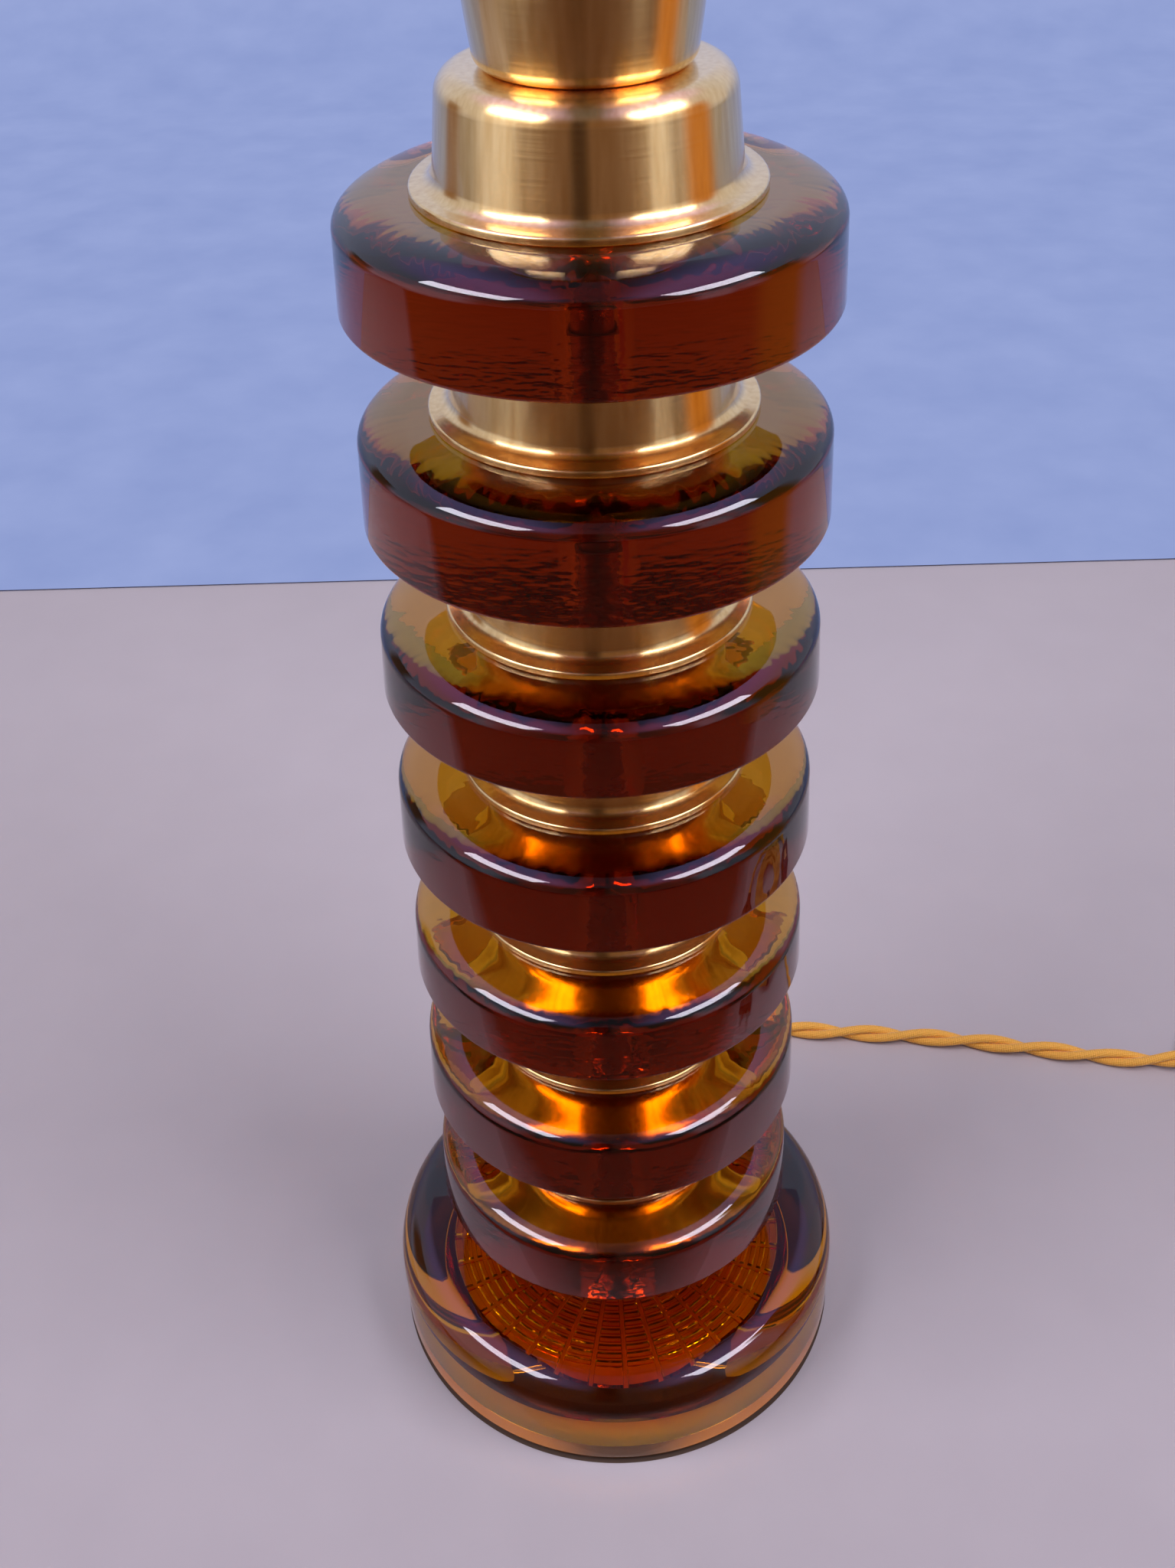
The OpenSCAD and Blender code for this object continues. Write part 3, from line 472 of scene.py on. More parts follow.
def rounded(corners):
    """Points of a closed section: a corner is (r, z), or (r, z, rounding) for an arc."""
    points = []
    for i, corner in enumerate(corners):
        at = Vector(corner[:2])
        if len(corner) == 2:
            points.append(at)
            continue
        back = (Vector(corners[i - 1][:2]) - at).normalized()
        ahead = (Vector(corners[(i + 1) % len(corners)][:2]) - at).normalized()
        half = back.angle(ahead) / 2
        middle = at + (back + ahead).normalized() * corner[2] / math.sin(half)
        first = at + back * corner[2] / math.tan(half) - middle
        last = at + ahead * corner[2] / math.tan(half) - middle
        start = math.atan2(first.y, first.x)
        sweep = (math.atan2(last.y, last.x) - start + math.pi) % (2 * math.pi) - math.pi
        for k in range(ARC_STEPS + 1):
            a = start + sweep * k / ARC_STEPS
            points.append(middle + corner[2] * Vector((math.cos(a), math.sin(a))))
    return points


def arc(middle, reach, first, last, steps):
    """Points of a round or elliptical arc, between two angles in degrees from the first axis."""
    turns = [math.radians(first + (last - first) * k / steps) for k in range(steps + 1)]
    return [(middle[0] + reach[0] * math.cos(a), middle[1] + reach[1] * math.sin(a)) for a in turns]


def closed_grid(columns, rows):
    """Faces of a grid of points, column after column, that closes on itself both ways."""
    return [
        (c * rows + i, (c + 1) % columns * rows + i, (c + 1) % columns * rows + (i + 1) % rows,
         c * rows + (i + 1) % rows)
        for c in range(columns) for i in range(rows)
    ]


def finish_mesh(vertices, faces, place=None, sharp=SHARP_ANGLE, underside=None):
    """A smooth shaded mesh in metres from points in millimetres. Edges sharper than an angle stay sharp, and
    underside says for each point how far it lies on a glass piece's wavy underside."""
    mesh = bpy.data.meshes.new("mesh")
    mesh.from_pydata([Vector(v) * MM for v in vertices], [], faces)
    if underside:
        mesh.attributes.new("underside", "FLOAT", "POINT").data.foreach_set("value", underside)
    if place:
        mesh.transform(place)
    shape = bmesh.new()
    shape.from_mesh(mesh)
    bmesh.ops.recalc_face_normals(shape, faces=shape.faces)
    shape.to_mesh(mesh)
    shape.free()
    mesh.shade_smooth()
    mesh.set_sharp_from_angle(angle=math.radians(sharp))
    return mesh


def revolve(section, place=None, shift=None, steps=TURN_STEPS, underside=None):
    """A closed section of (r, z) turned about the axis. shift(r, z, turn) moves points outwards for a thread,
    and underside gives, by place in the section, how far one lies on a glass piece's wavy underside."""
    vertices = []
    for k in range(steps):
        turn = 2 * math.pi * k / steps
        for r, z in section:
            reach = r + (shift(r, z, turn) if shift else 0)
            vertices.append((reach * math.cos(turn), reach * math.sin(turn), z))
    rows = len(section)
    waves = [underside.get(i, 0.0) for i in range(rows)] * steps if underside else None
    return finish_mesh(vertices, closed_grid(steps, rows), place, underside=waves)


def joined(meshes):
    """Several meshes as one."""
    shape = bmesh.new()
    for mesh in meshes:
        shape.from_mesh(mesh)
    whole = bpy.data.meshes.new("mesh")
    shape.to_mesh(whole)
    shape.free()
    return whole


def put(name, mesh, slot, *nodes, body="lamp", finish=None):
    """Puts a mesh into the scene as a piece that stands for CAD nodes and rides on a body."""
    mesh.name = name
    mesh.materials.append(finish or FINISH[slot])
    piece = bpy.data.objects.new(name, mesh)
    scene.collection.objects.link(piece)
    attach(piece, body)
    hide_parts(*nodes)
    return piece


def node_span(node):
    """A node's lowest and highest corner in millimetres."""
    low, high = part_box(node)
    return low / MM, high / MM


# Camera, as the photograph was taken: close in front, a little above the lampholder, tilted well down

IMAGE_H = 2048
FOCAL_PX = 2159.14
CAMERA_PLACE = Vector((0, -0.3523, 0.4949))
CAMERA_DOWN = 0.667
CAMERA_PAN = -0.0129
CAMERA_ROLL = -0.0339

heading = Vector((
    math.sin(CAMERA_PAN) * math.cos(CAMERA_DOWN),
    math.cos(CAMERA_PAN) * math.cos(CAMERA_DOWN),
    -math.sin(CAMERA_DOWN),
))
level_right = heading.cross(Vector((0, 0, 1))).normalized()
level_up = level_right.cross(heading)
right = math.cos(CAMERA_ROLL) * level_right + math.sin(CAMERA_ROLL) * level_up
up = math.cos(CAMERA_ROLL) * level_up - math.sin(CAMERA_ROLL) * level_right
camera = bpy.data.objects.new("camera", bpy.data.cameras.new("camera"))
camera.data.sensor_width = 36
camera.data.lens = FOCAL_PX * camera.data.sensor_width / IMAGE_H
camera.data.clip_start = 0.01
camera.matrix_world = Matrix.Translation(CAMERA_PLACE) @ Matrix((right, up, -heading)).transposed().to_4x4()
scene.collection.objects.link(camera)
scene.camera = camera


# Cord routes in millimetres, as in the part's source

RUN_ROUTE = [
    (0, 86, 6), (0, 91, 5.6), (2, 99.5, 4.8), (8, 108, 4), (17, 113.5, 3.5), (28, 115.5, 3.4),
    (41, 114.5, 3.4), (54, 112, 3.4), (68, 109.6, 3.4), (92, 106.8, 3.4), (116, 104.2, 3.4),
    (139, 101, 3.4), (162, 96.6, 3.4), (184, 92.2, 3.4), (202, 89, 3.4), (213, 87.2, 4.2),
    (222, 86.2, 5.8), (229, 86, 7),
]
LEAD_ROUTE = [
    (287, 86, 7), (293, 86, 6.4), (304, 83.6, 5.4), (313.4, 77, 4.8), (319.8, 67.4, 4.6), (322, 56, 4.6),
    (322, 45, 4.6), (322, 34, 4.6), (322, 23, 4.6),
]
TAIL_ROUTE = [
    (322, 9, 12), (322, 0, 12), (321.4, -14, 11.4), (317, -28, 10.2), (308, -41, 9), (295, -50.4, 7.8),
    (281, -54.6, 7), (274, -55, 6.9), (268, -55, 6.85),
]
COIL_END = Vector((322, 16))
COIL_LOW_Z = 4.6
COIL_PITCH = 7.4
COIL_MEAN_R = 36.5
LAYER_TURNS = 3
COIL_RINGS = 48
COIL_OUT_R = COIL_MEAN_R + COIL_PITCH * LAYER_TURNS / 2
COIL_IN_R = COIL_OUT_R - COIL_PITCH * LAYER_TURNS
COIL_MIDDLE = COIL_END - Vector((COIL_OUT_R, 0))


def coil_point(turns):
    """A point of the coil: in along the floor, up half a turn round the middle, and out again on top."""
    radius = COIL_IN_R + COIL_PITCH * abs(LAYER_TURNS - turns)
    climb = min(1, max(0, 2 * (turns - LAYER_TURNS) + 0.5))
    turn = 2 * math.pi * turns
    return (
        COIL_MIDDLE.x + radius * math.cos(turn),
        COIL_MIDDLE.y - radius * math.sin(turn),
        COIL_LOW_Z + COIL_PITCH * (1 - math.cos(math.pi * climb)) / 2,
    )


COIL_ROUTE = [coil_point(i / COIL_RINGS) for i in range(2 * LAYER_TURNS * COIL_RINGS + 1)]


def smooth_line(points, step):
    """A smooth line through the points, with a new point about every step."""
    points = [Vector(p) for p in points]
    ends = [2 * points[0] - points[1], *points, 2 * points[-1] - points[-2]]
    line = []
    for a, b, c, d in zip(ends, ends[1:], ends[2:], ends[3:]):
        parts = max(1, round((c - b).length / step))
        for k in range(parts):
            t = k / parts
            line.append(0.5 * (2 * b + (c - a) * t + (2 * a - 5 * b + 4 * c - d) * t ** 2
                               + (3 * b - a - 3 * c + d) * t ** 3))
    return line + [points[-1]]


def twisted_cord(line, across=(0, 0, 1)):
    """Two braided strands wound left-handed round a line. Their UV is millimetres along and turns round."""
    vertices, faces, marks = [], [], []
    for first_turn in (math.pi / 2, 3 * math.pi / 2):
        run = 0
        base = len(vertices)
        for i, point in enumerate(line):
            run += (point - line[i - 1]).length if i else 0
            ahead = (line[min(i + 1, len(line) - 1)] - line[max(i - 1, 0)]).normalized()
            side = Vector(across).cross(ahead).normalized()
            over = ahead.cross(side)
            turn = first_turn - 2 * math.pi * run / STRAND_LAY
            out = math.cos(turn) * side + math.sin(turn) * over
            round_way = math.cos(turn) * over - math.sin(turn) * side
            strand_way = (ahead - round_way * 2 * math.pi * STRAND_R / STRAND_LAY).normalized()
            flank = strand_way.cross(out)
            for k in range(STRAND_SIDES):
                a = 2 * math.pi * k / STRAND_SIDES
                vertices.append(point + STRAND_R * (out + math.cos(a) * out + math.sin(a) * flank))
            marks.append(run)
        for i in range(len(line) - 1):
            for k in range(STRAND_SIDES):
                a, b = base + i * STRAND_SIDES + k, base + i * STRAND_SIDES + (k + 1) % STRAND_SIDES
                faces.append((a, b, b + STRAND_SIDES, a + STRAND_SIDES))
        faces.append(tuple(range(base, base + STRAND_SIDES)))
        faces.append(tuple(range(len(vertices) - STRAND_SIDES, len(vertices))))
    mesh = finish_mesh(vertices, faces, sharp=STRAND_SHARP_ANGLE)
    strand = mesh.uv_layers.new(name="strand")
    for face in mesh.polygons:
        spots = [mesh.loops[i].vertex_index % STRAND_SIDES for i in face.loop_indices]
        wraps = max(spots) - min(spots) > STRAND_SIDES / 2
        for i, spot in zip(face.loop_indices, spots):
            ring = mesh.loops[i].vertex_index // STRAND_SIDES
            strand.data[i].uv = (marks[ring], (spot + STRAND_SIDES * (wraps and spot == 0)) / STRAND_SIDES)
    return mesh


# Cords

def tucked(route):
    """A route whose ends are drawn on a little way into the fittings that hold them."""
    route = [Vector(p) for p in route]
    first = route[0] + (route[0] - route[1]).normalized() * CORD_TUCK
    last = route[-1] + (route[-1] - route[-2]).normalized() * CORD_TUCK
    return [first, *route, last]


run_line = smooth_line(tucked(RUN_ROUTE), CORD_STEP)
coil_line = smooth_line(tucked(LEAD_ROUTE + COIL_ROUTE[1:-1] + TAIL_ROUTE), CORD_STEP)
floor_cord = put("floor_cord", twisted_cord(run_line), "textile_cord", "cord_run")
coiled_cord = put("coiled_cord", twisted_cord(coil_line), "textile_cord",
                  "cord_lead", "cord_coil", "cord_tail")


# Glass discs

def disc_section(low_z, high_z, low_r):
    """Section of a disc: a nearly sharp lower edge, a side with some draft, a soft elliptical top edge."""
    high_r = low_r - DISC_DRAFT
    low_edge = rounded([(GLASS_BORE_R, low_z), (low_r, low_z, DISC_LOW_ROUND), (high_r, high_z)])[:-1]
    middle = (high_r - DISC_EDGE_RUN, high_z - DISC_EDGE_DROP)
    high_edge = arc(middle, (DISC_EDGE_RUN, DISC_EDGE_DROP), 0, 90, CURVE_STEPS)
    return low_edge + high_edge + [(GLASS_BORE_R, high_z)]


for k in range(1, DISC_COUNT + 1):
    low, high = node_span(f"glass_disc_{k}")
    wave = 1.0 if k <= WAVY_DISCS else CALM_WAVE
    disc = revolve(disc_section(low.z, high.z, high.x), underside={0: wave, 1: wave})
    put(f"amber_disc_{k}", disc, "amber_glass", f"glass_disc_{k}")


# Brass cups

def cup_section(low_z, high_z, rim_r):
    """Section of a spun cup: flat rim, hollow cove, leaning wall, rounded shoulder and a closed top."""
    low_z += SEAT_GAP
    cove_z = low_z + RIM_H + COVE_LIFT
    return rounded([
        (CUP_LOW_R + COVE_ROUND, low_z),
        (rim_r, low_z, RIM_LOW_ROUND),
        (rim_r, low_z + RIM_H, RIM_HIGH_ROUND),
        (CUP_LOW_R, cove_z, COVE_ROUND),
        (CUP_HIGH_R, high_z, SHOULDER_ROUND),
        (ROD_HOLE_R, high_z),
        (ROD_HOLE_R, high_z - BRASS_T),
        (CUP_HIGH_R - BRASS_T, high_z - BRASS_T, SHOULDER_ROUND - BRASS_T),
        (CUP_LOW_R - BRASS_T, cove_z - BRASS_T, COVE_ROUND + BRASS_T),
        (CUP_LOW_R + COVE_ROUND, cove_z - BRASS_T),
    ])


for node in ["top_cup", *(f"spacer_{k}" for k in range(1, DISC_COUNT + 1))]:
    low, high = node_span(node)
    put(f"brass_{node}", revolve(cup_section(low.z, high.z, high.x)), "spun_brass", node)


def washer_section(low_z, high_z, out_r):
    """Section of a soft washer, a hair thinner than its gap, so that the glass keeps its own skin."""
    high_z -= SEAT_GAP
    return rounded([
        (ROD_HOLE_R, low_z),
        (out_r, low_z, WASHER_ROUND),
        (out_r, high_z, WASHER_ROUND),
        (ROD_HOLE_R, high_z),
    ])


washer_r = node_span("cushion_washers")[1].x
washers = []
for k in range(1, DISC_COUNT + 1):
    low_z, high_z = node_span(f"spacer_{k}")[1].z, node_span(f"glass_disc_{k}")[0].z
    washers.append(revolve(washer_section(low_z, high_z, washer_r), steps=SMALL_TURN_STEPS))
put("soft_washers", joined(washers), "soft_washer", "cushion_washers")


def neck_section(low_z, high_z):
    """Section of the socket cup: a rounded lip below, and a wall that flares and then straightens."""
    wall_z = low_z + NECK_LIP
    wall = []
    for k in range(CURVE_STEPS + 1):
        s = k / CURVE_STEPS
        r = NECK_LOW_R + (NECK_HIGH_R - NECK_LOW_R) * (2 * s - s * s)
        wall.append((r, wall_z + (high_z - wall_z) * s))
    lip_r = NECK_LOW_R - NECK_LIP
    lip = arc((lip_r, wall_z), (NECK_LIP, NECK_LIP), -90, 0, 2 * ARC_STEPS)[:-1]
    inside = [(r - BRASS_T, z) for r, z in reversed(wall)]
    bottom = [(lip_r, low_z + BRASS_T), (ROD_HOLE_R, low_z + BRASS_T)]
    return [(ROD_HOLE_R, low_z)] + lip + wall + inside + bottom


low, high = node_span("socket_cup")
neck = revolve(neck_section(low.z + SEAT_GAP, high.z))
put("brass_socket_cup", neck, "spun_brass", "socket_cup")


# Glass foot

def foot_rows(low_z, high_z, out_r):
    """Rows of the foot's section, once round it, as (r, z, ring rib height, whether spokes cross the row).
    The straight part of the hollow's side is a hair wider at the ceiling, as cooling glass leaves it."""
    pocket_z = low_z + HOLLOW_H + POCKET_H + SEAT_GAP
    ceiling_z = low_z + HOLLOW_H
    skin = rounded([
        (GLASS_BORE_R, pocket_z),
        (GLASS_BORE_R, high_z),
        (out_r, high_z, FOOT_TOP_ROUND),
        (out_r, low_z, FOOT_LOW_ROUND),
        (HOLLOW_MOUTH_R, low_z, HOLLOW_MOUTH_ROUND),
        (HOLLOW_R, ceiling_z - HOLLOW_STRAIGHT),
    ])
    rows = [(r, z, 0, False) for r, z in skin]
    rows.append((HOLLOW_R + HOLLOW_SHRINK, ceiling_z, 0, False))
    rows.append((HOLLOW_R, ceiling_z, 0, True))
    first_ring = POCKET_R + RING_PITCH
    ring_count = int((HOLLOW_R - first_ring - RIB_W) / RING_PITCH) + 1
    for i in reversed(range(ring_count)):
        r = first_ring + i * RING_PITCH
        for reach, rib in ((RIB_W + RIB_DRAFT, 0), (RIB_W, RING_RIB_H), (0, RING_RIB_H), (-RIB_DRAFT, 0)):
            rows.append((r + reach, ceiling_z, rib, True))
    rows.append((POCKET_R + 2 * POCKET_EDGE, ceiling_z, 0, True))
    rows.append((POCKET_R + POCKET_EDGE, ceiling_z, 0, False))
    rows.append((POCKET_R, ceiling_z, 0, False))
    rows.append((POCKET_R, pocket_z, 0, False))
    return rows


def foot_mesh(low_z, high_z, out_r):
    """The foot as one grid: its rows follow the ring ribs and its columns the edges of the spokes."""
    rib_sides = [(-RIB_W / 2 - RIB_DRAFT, 0), (-RIB_W / 2, 1), (RIB_W / 2, 1), (RIB_W / 2 + RIB_DRAFT, 0)]
    rows = foot_rows(low_z, high_z, out_r)
    pitch = 2 * math.pi / SPOKE_COUNT
    vertices, underside = [], []
    for spoke in range(SPOKE_COUNT):
        middle = spoke * pitch + math.radians(SPOKE_TURN - 90)
        columns = [(side, rib, 0) for side, rib in rib_sides]
        columns += [(rib_sides[-1][0], 0, (k + 1) / (SPOKE_GAP_STEPS + 1)) for k in range(SPOKE_GAP_STEPS)]
        for side, on_spoke, share in columns:
            for r, z, ring_rib, crossed in rows:
                guide_r = min(max(r, POCKET_R), HOLLOW_R)
                turn = middle + side / guide_r + share * (pitch - 2 * side / guide_r)
                drop = max(ring_rib, SPOKE_RIB_H * on_spoke) if crossed else 0
                vertices.append((r * math.cos(turn), r * math.sin(turn), z - drop))
                underside.append(float(crossed))
    faces = closed_grid(len(vertices) // len(rows), len(rows))
    return finish_mesh(vertices, faces, sharp=FOOT_SHARP_ANGLE, underside=underside)


def notch_cutter(start_y, end_y):
    """The arch that is cut through the foot's back for the cord gland."""
    arch = [(-NOTCH_R, -NOTCH_BELOW), (NOTCH_R, -NOTCH_BELOW)]
    arch += arc((0, GLAND_Z), (NOTCH_R, NOTCH_R), 0, 180, CURVE_STEPS)
    n = len(arch)
    vertices = [(x, start_y, z) for x, z in arch] + [(x, end_y, z) for x, z in arch]
    faces = [(i, (i + 1) % n, (i + 1) % n + n, i + n) for i in range(n)]
    faces += [tuple(range(n)), tuple(range(n, 2 * n))]
    return finish_mesh(vertices, faces)


def cut(mesh, cutter_mesh, sharp):
    """A mesh with another one's volume taken out of it, and edges sharper than an angle kept sharp."""
    whole = bpy.data.objects.new("whole", mesh)
    cutter = bpy.data.objects.new("cutter", cutter_mesh)
    scene.collection.objects.link(whole)
    scene.collection.objects.link(cutter)
    knife = whole.modifiers.new("notch", "BOOLEAN")
    knife.operation = "DIFFERENCE"
    knife.solver = "EXACT"
    knife.object = cutter
    bpy.context.view_layer.update()
    result = bpy.data.meshes.new_from_object(whole.evaluated_get(bpy.context.evaluated_depsgraph_get()))
    bpy.data.objects.remove(whole)
    bpy.data.objects.remove(cutter)
    result.set_sharp_from_angle(angle=math.radians(sharp))
    return result


low, high = node_span("foot_glass")
whole_foot = foot_mesh(low.z, high.z, high.x)
foot = cut(whole_foot, notch_cutter(NOTCH_IN_Y, high.y + NOTCH_OVERRUN), FOOT_SHARP_ANGLE)
put("amber_foot", foot, "amber_glass", "foot_glass", finish=FOOT_FINISH)


# Lampholder: the rolled thread of the screw shell, the sleeve's moulded thread and the knurled shade ring

def spans(low_z, high_z, step):
    """Heights from low to high in even steps."""
    count = math.ceil((high_z - low_z) / step)
    return [low_z + (high_z - low_z) * k / count for k in range(count + 1)]


def thread(pitch, depth):
    """A shift for revolve: how far a thread of this pitch and depth moves a point outwards."""
    return lambda r, z, turn: depth / 2 * (1 + math.sin(2 * math.pi * z / pitch - turn))


low, high = node_span("screw_shell")
levels = spans(low.z, high.z, SHELL_PITCH / SHELL_LEVELS)
shell_section = [(SHELL_BORE_R, z) for z in levels]
shell_section += [(SHELL_BORE_R + SHELL_SHEET, z) for z in reversed(levels)]
shell_thread = thread(SHELL_PITCH, SHELL_WAVE)
shell = revolve(shell_section, shift=shell_thread, steps=SMALL_TURN_STEPS)
put("screw_shell_rolled", shell, "turned_brass", "screw_shell")

low, high = node_span("holder_sleeve")
ring_low, ring_high = node_span("shade_ring")
levels = spans(ring_high.z + SLEEVE_PLAIN_START, high.z - SLEEVE_PLAIN_END, SLEEVE_PITCH / SLEEVE_LEVELS)
thread_r = SLEEVE_FREE_R - SLEEVE_WAVE
sleeve_section = [
    (SLEEVE_IN_R, low.z), (high.x, low.z), (high.x, ring_high.z), (SLEEVE_FREE_R, ring_high.z),
    *((thread_r, z) for z in levels),
    *rounded([
        (SLEEVE_FREE_R, levels[-1]),
        (SLEEVE_FREE_R, high.z, SLEEVE_END_ROUND),
        (SLEEVE_LIP_R, high.z, SLEEVE_LIP_ROUND),
        (SLEEVE_LIP_R, high.z - SLEEVE_LIP_H),
        (SLEEVE_IN_R, high.z - SLEEVE_LIP_H),
    ]),
]
sleeve_thread = thread(SLEEVE_PITCH, SLEEVE_WAVE)


def sleeve_shift(r, z, turn):
    """The thread between the sleeve's plain ends."""
    return sleeve_thread(r, z, turn) if r == thread_r else 0


sleeve = revolve(sleeve_section, shift=sleeve_shift)
put("threaded_sleeve", sleeve, "dark_moulding", "holder_sleeve")

flange_z = ring_low.z + RING_FLANGE_T
ring_section = rounded([
    (RING_HOLE_R, ring_low.z),
    (ring_high.x, ring_low.z, RING_EDGE_ROUND),
    (ring_high.x, flange_z, RING_EDGE_ROUND),
    (RING_HUB_R, flange_z, RING_EDGE_ROUND),
    (RING_HUB_R, ring_high.z, RING_HUB_ROUND),
    (RING_HOLE_R, ring_high.z),
])


def knurl(r, z, turn):
    """Fine upright grooves round the shade ring's edge."""
    return -KNURL_DEPTH / 2 * (1 + math.cos(KNURL_COUNT * turn)) if r > ring_high.x - KNURL_BAND else 0


ring = revolve(ring_section, shift=knurl, steps=KNURL_STEPS * KNURL_COUNT)
put("knurled_shade_ring", ring, "spun_brass", "shade_ring")


# Lead inside the foot, cord gland and the coil's tie

inner_route = [
    (0, GLAND_START_Y + CORD_TUCK, GLAND_Z),
    (0, LEAD_DIP_START_Y, GLAND_Z),
    (0, LEAD_DIP_END_Y, LEAD_LOW_Z),
    (0, LEAD_FLAT_END_Y, LEAD_LOW_Z),
]
lead_bend = arc((LEAD_BEND, LEAD_LOW_Z + LEAD_BEND), (LEAD_BEND, LEAD_BEND), -90, -180, LEAD_BEND_STEPS)
inner_route += [(0, y, z) for y, z in lead_bend]
lead_top_z = node_span("inner_lead")[1].z
inner_route += [(0, 0, z) for z in spans(LEAD_LOW_Z + LEAD_BEND, lead_top_z, LEAD_RISE_STEP)[1:]]
inner_line = smooth_line(inner_route, CORD_STEP)
inner_lead = twisted_cord(inner_line, across=(1, 0, 0))
put("inner_twisted_lead", inner_lead, "textile_cord", "inner_lead")


def gland_section():
    """Section of the gland along its own axis: a straight seat, then a taper with soft grooves."""
    taper = GLAND_LEN - GLAND_SEAT
    section = [(GLAND_BORE_R, 0), (GLAND_R - GLAND_EDGE, 0), (GLAND_R, GLAND_EDGE), (GLAND_R, GLAND_SEAT)]
    for k in range(1, GROOVE_COUNT + 1):
        at = GLAND_SEAT + k * taper / (GROOVE_COUNT + 1)
        end = at + GROOVE_W
        for z, sunk in ((at, False), (at + GROOVE_DRAFT, True), (end - GROOVE_DRAFT, True), (end, False)):
            skin = GLAND_R - (GLAND_R - GLAND_TIP_R) * (z - GLAND_SEAT) / taper
            section.append((GROOVE_R if sunk else skin, z))
    section.append((GLAND_TIP_R, GLAND_LEN - GLAND_TIP_EDGE))
    section.append((GLAND_TIP_R - GLAND_TIP_EDGE, GLAND_LEN))
    section.append((GLAND_BORE_R, GLAND_LEN))
    return section


gland_middle = Matrix.Translation(Vector((0, GLAND_START_Y, GLAND_Z)) * MM)
gland_place = gland_middle @ Matrix.Rotation(-math.pi / 2, 4, "X")
gland = revolve(gland_section(), gland_place, steps=GLAND_TURN_STEPS)
put("grooved_gland", gland, "gland_rubber", "cord_gland")


def tie_band(low, high):
    """A hook and loop band round the coil's turns: once about and a little further, over its own start."""
    inner = rounded([
        (low.x + TIE_T, low.z + TIE_T, TIE_ROUND), (high.x - TIE_T, low.z + TIE_T, TIE_ROUND),
        (high.x - TIE_T, high.z - TIE_T, TIE_ROUND), (low.x + TIE_T, high.z - TIE_T, TIE_ROUND),
    ])
    loop = []
    for a, b in zip(inner, inner[1:] + inner[:1]):
        parts = max(1, round((b - a).length / TIE_STEP))
        loop += [a.lerp(b, k / parts) for k in range(parts)]
    middle = Vector(((low.x + high.x) / 2, (low.z + high.z) / 2))
    first = min(range(len(loop)), key=lambda i: (loop[i] - Vector((middle.x, high.z))).length)
    count = len(loop) + TIE_LAP
    half_w = (high.y - low.y) / 2
    flat_w = half_w - TIE_EDGE_W
    across = [
        (0, -flat_w), (TIE_EDGE_T, -half_w), (TIE_T - TIE_EDGE_T, -half_w), (TIE_T, -flat_w),
        (TIE_T, flat_w), (TIE_T - TIE_EDGE_T, half_w), (TIE_EDGE_T, half_w), (0, flat_w),
    ]
    vertices = []
    for i in range(count):
        here, back, ahead = (loop[(first + i + k) % len(loop)] for k in (0, -1, 1))
        along = (ahead - back).normalized()
        out = Vector((along.y, -along.x))
        lift = TIE_LAP_LIFT * TIE_T * min(1, max(0, (i - len(loop) + TIE_LAP_RISE) / TIE_LAP_RISE))
        for reach, y in across:
            spot = here + out * (reach + lift)
            vertices.append((spot.x, (low.y + high.y) / 2 + y, spot.y))
    n = len(across)
    faces = [
        (i * n + k, i * n + (k + 1) % n, (i + 1) * n + (k + 1) % n, (i + 1) * n + k)
        for i in range(count - 1) for k in range(n)
    ]
    faces += [tuple(range(n)), tuple(range((count - 1) * n, count * n))]
    return finish_mesh(vertices, faces)


put("hook_and_loop_tie", tie_band(*node_span("coil_tie")), "tie_fabric", "coil_tie")


# Carried-over CAD nodes take their finish from the record's slots

for subpart in frame["record"]["subparts"]:
    node = frame["nodes"][subpart["node"]]
    node.data.materials.clear()
    node.data.materials.append(FINISH[subpart["material_slot"]])


# Stage and light

def sheet_on_stage(name, points, faces, material):
    """A piece of the stage from points in metres."""
    mesh = bpy.data.meshes.new(name)
    mesh.from_pydata(points, [], faces)
    mesh.materials.append(material)
    mesh.shade_smooth()
    stage = bpy.data.objects.new(name, mesh)
    scene.collection.objects.link(stage)
    return stage


def level_corners(half_w, front_y, back_y, z):
    """The corners of a level sheet."""
    return [(-half_w, front_y, z), (half_w, front_y, z), (half_w, back_y, z), (-half_w, back_y, z)]


# Stage sizes are metres. The floor lies a hair below the glass rim, so that a film of air stays between them
FLOOR_REACH = 5
FLOOR_Z = -0.0002
# pressed paints the contact shade under the glass rim, glow paints light inside it, the last colour paints
# shade
sheet_on_stage(
    "floor",
    level_corners(FLOOR_REACH, -FLOOR_REACH, FLOOR_REACH, FLOOR_Z),
    [(0, 1, 2, 3)],
    floor_cloth("pale_floor_cloth", near="#a69ca0", far="#c8bec0", pressed="#4a382c", glow="#c0c05c",
                shade_fringe="#8a4a20"),
)

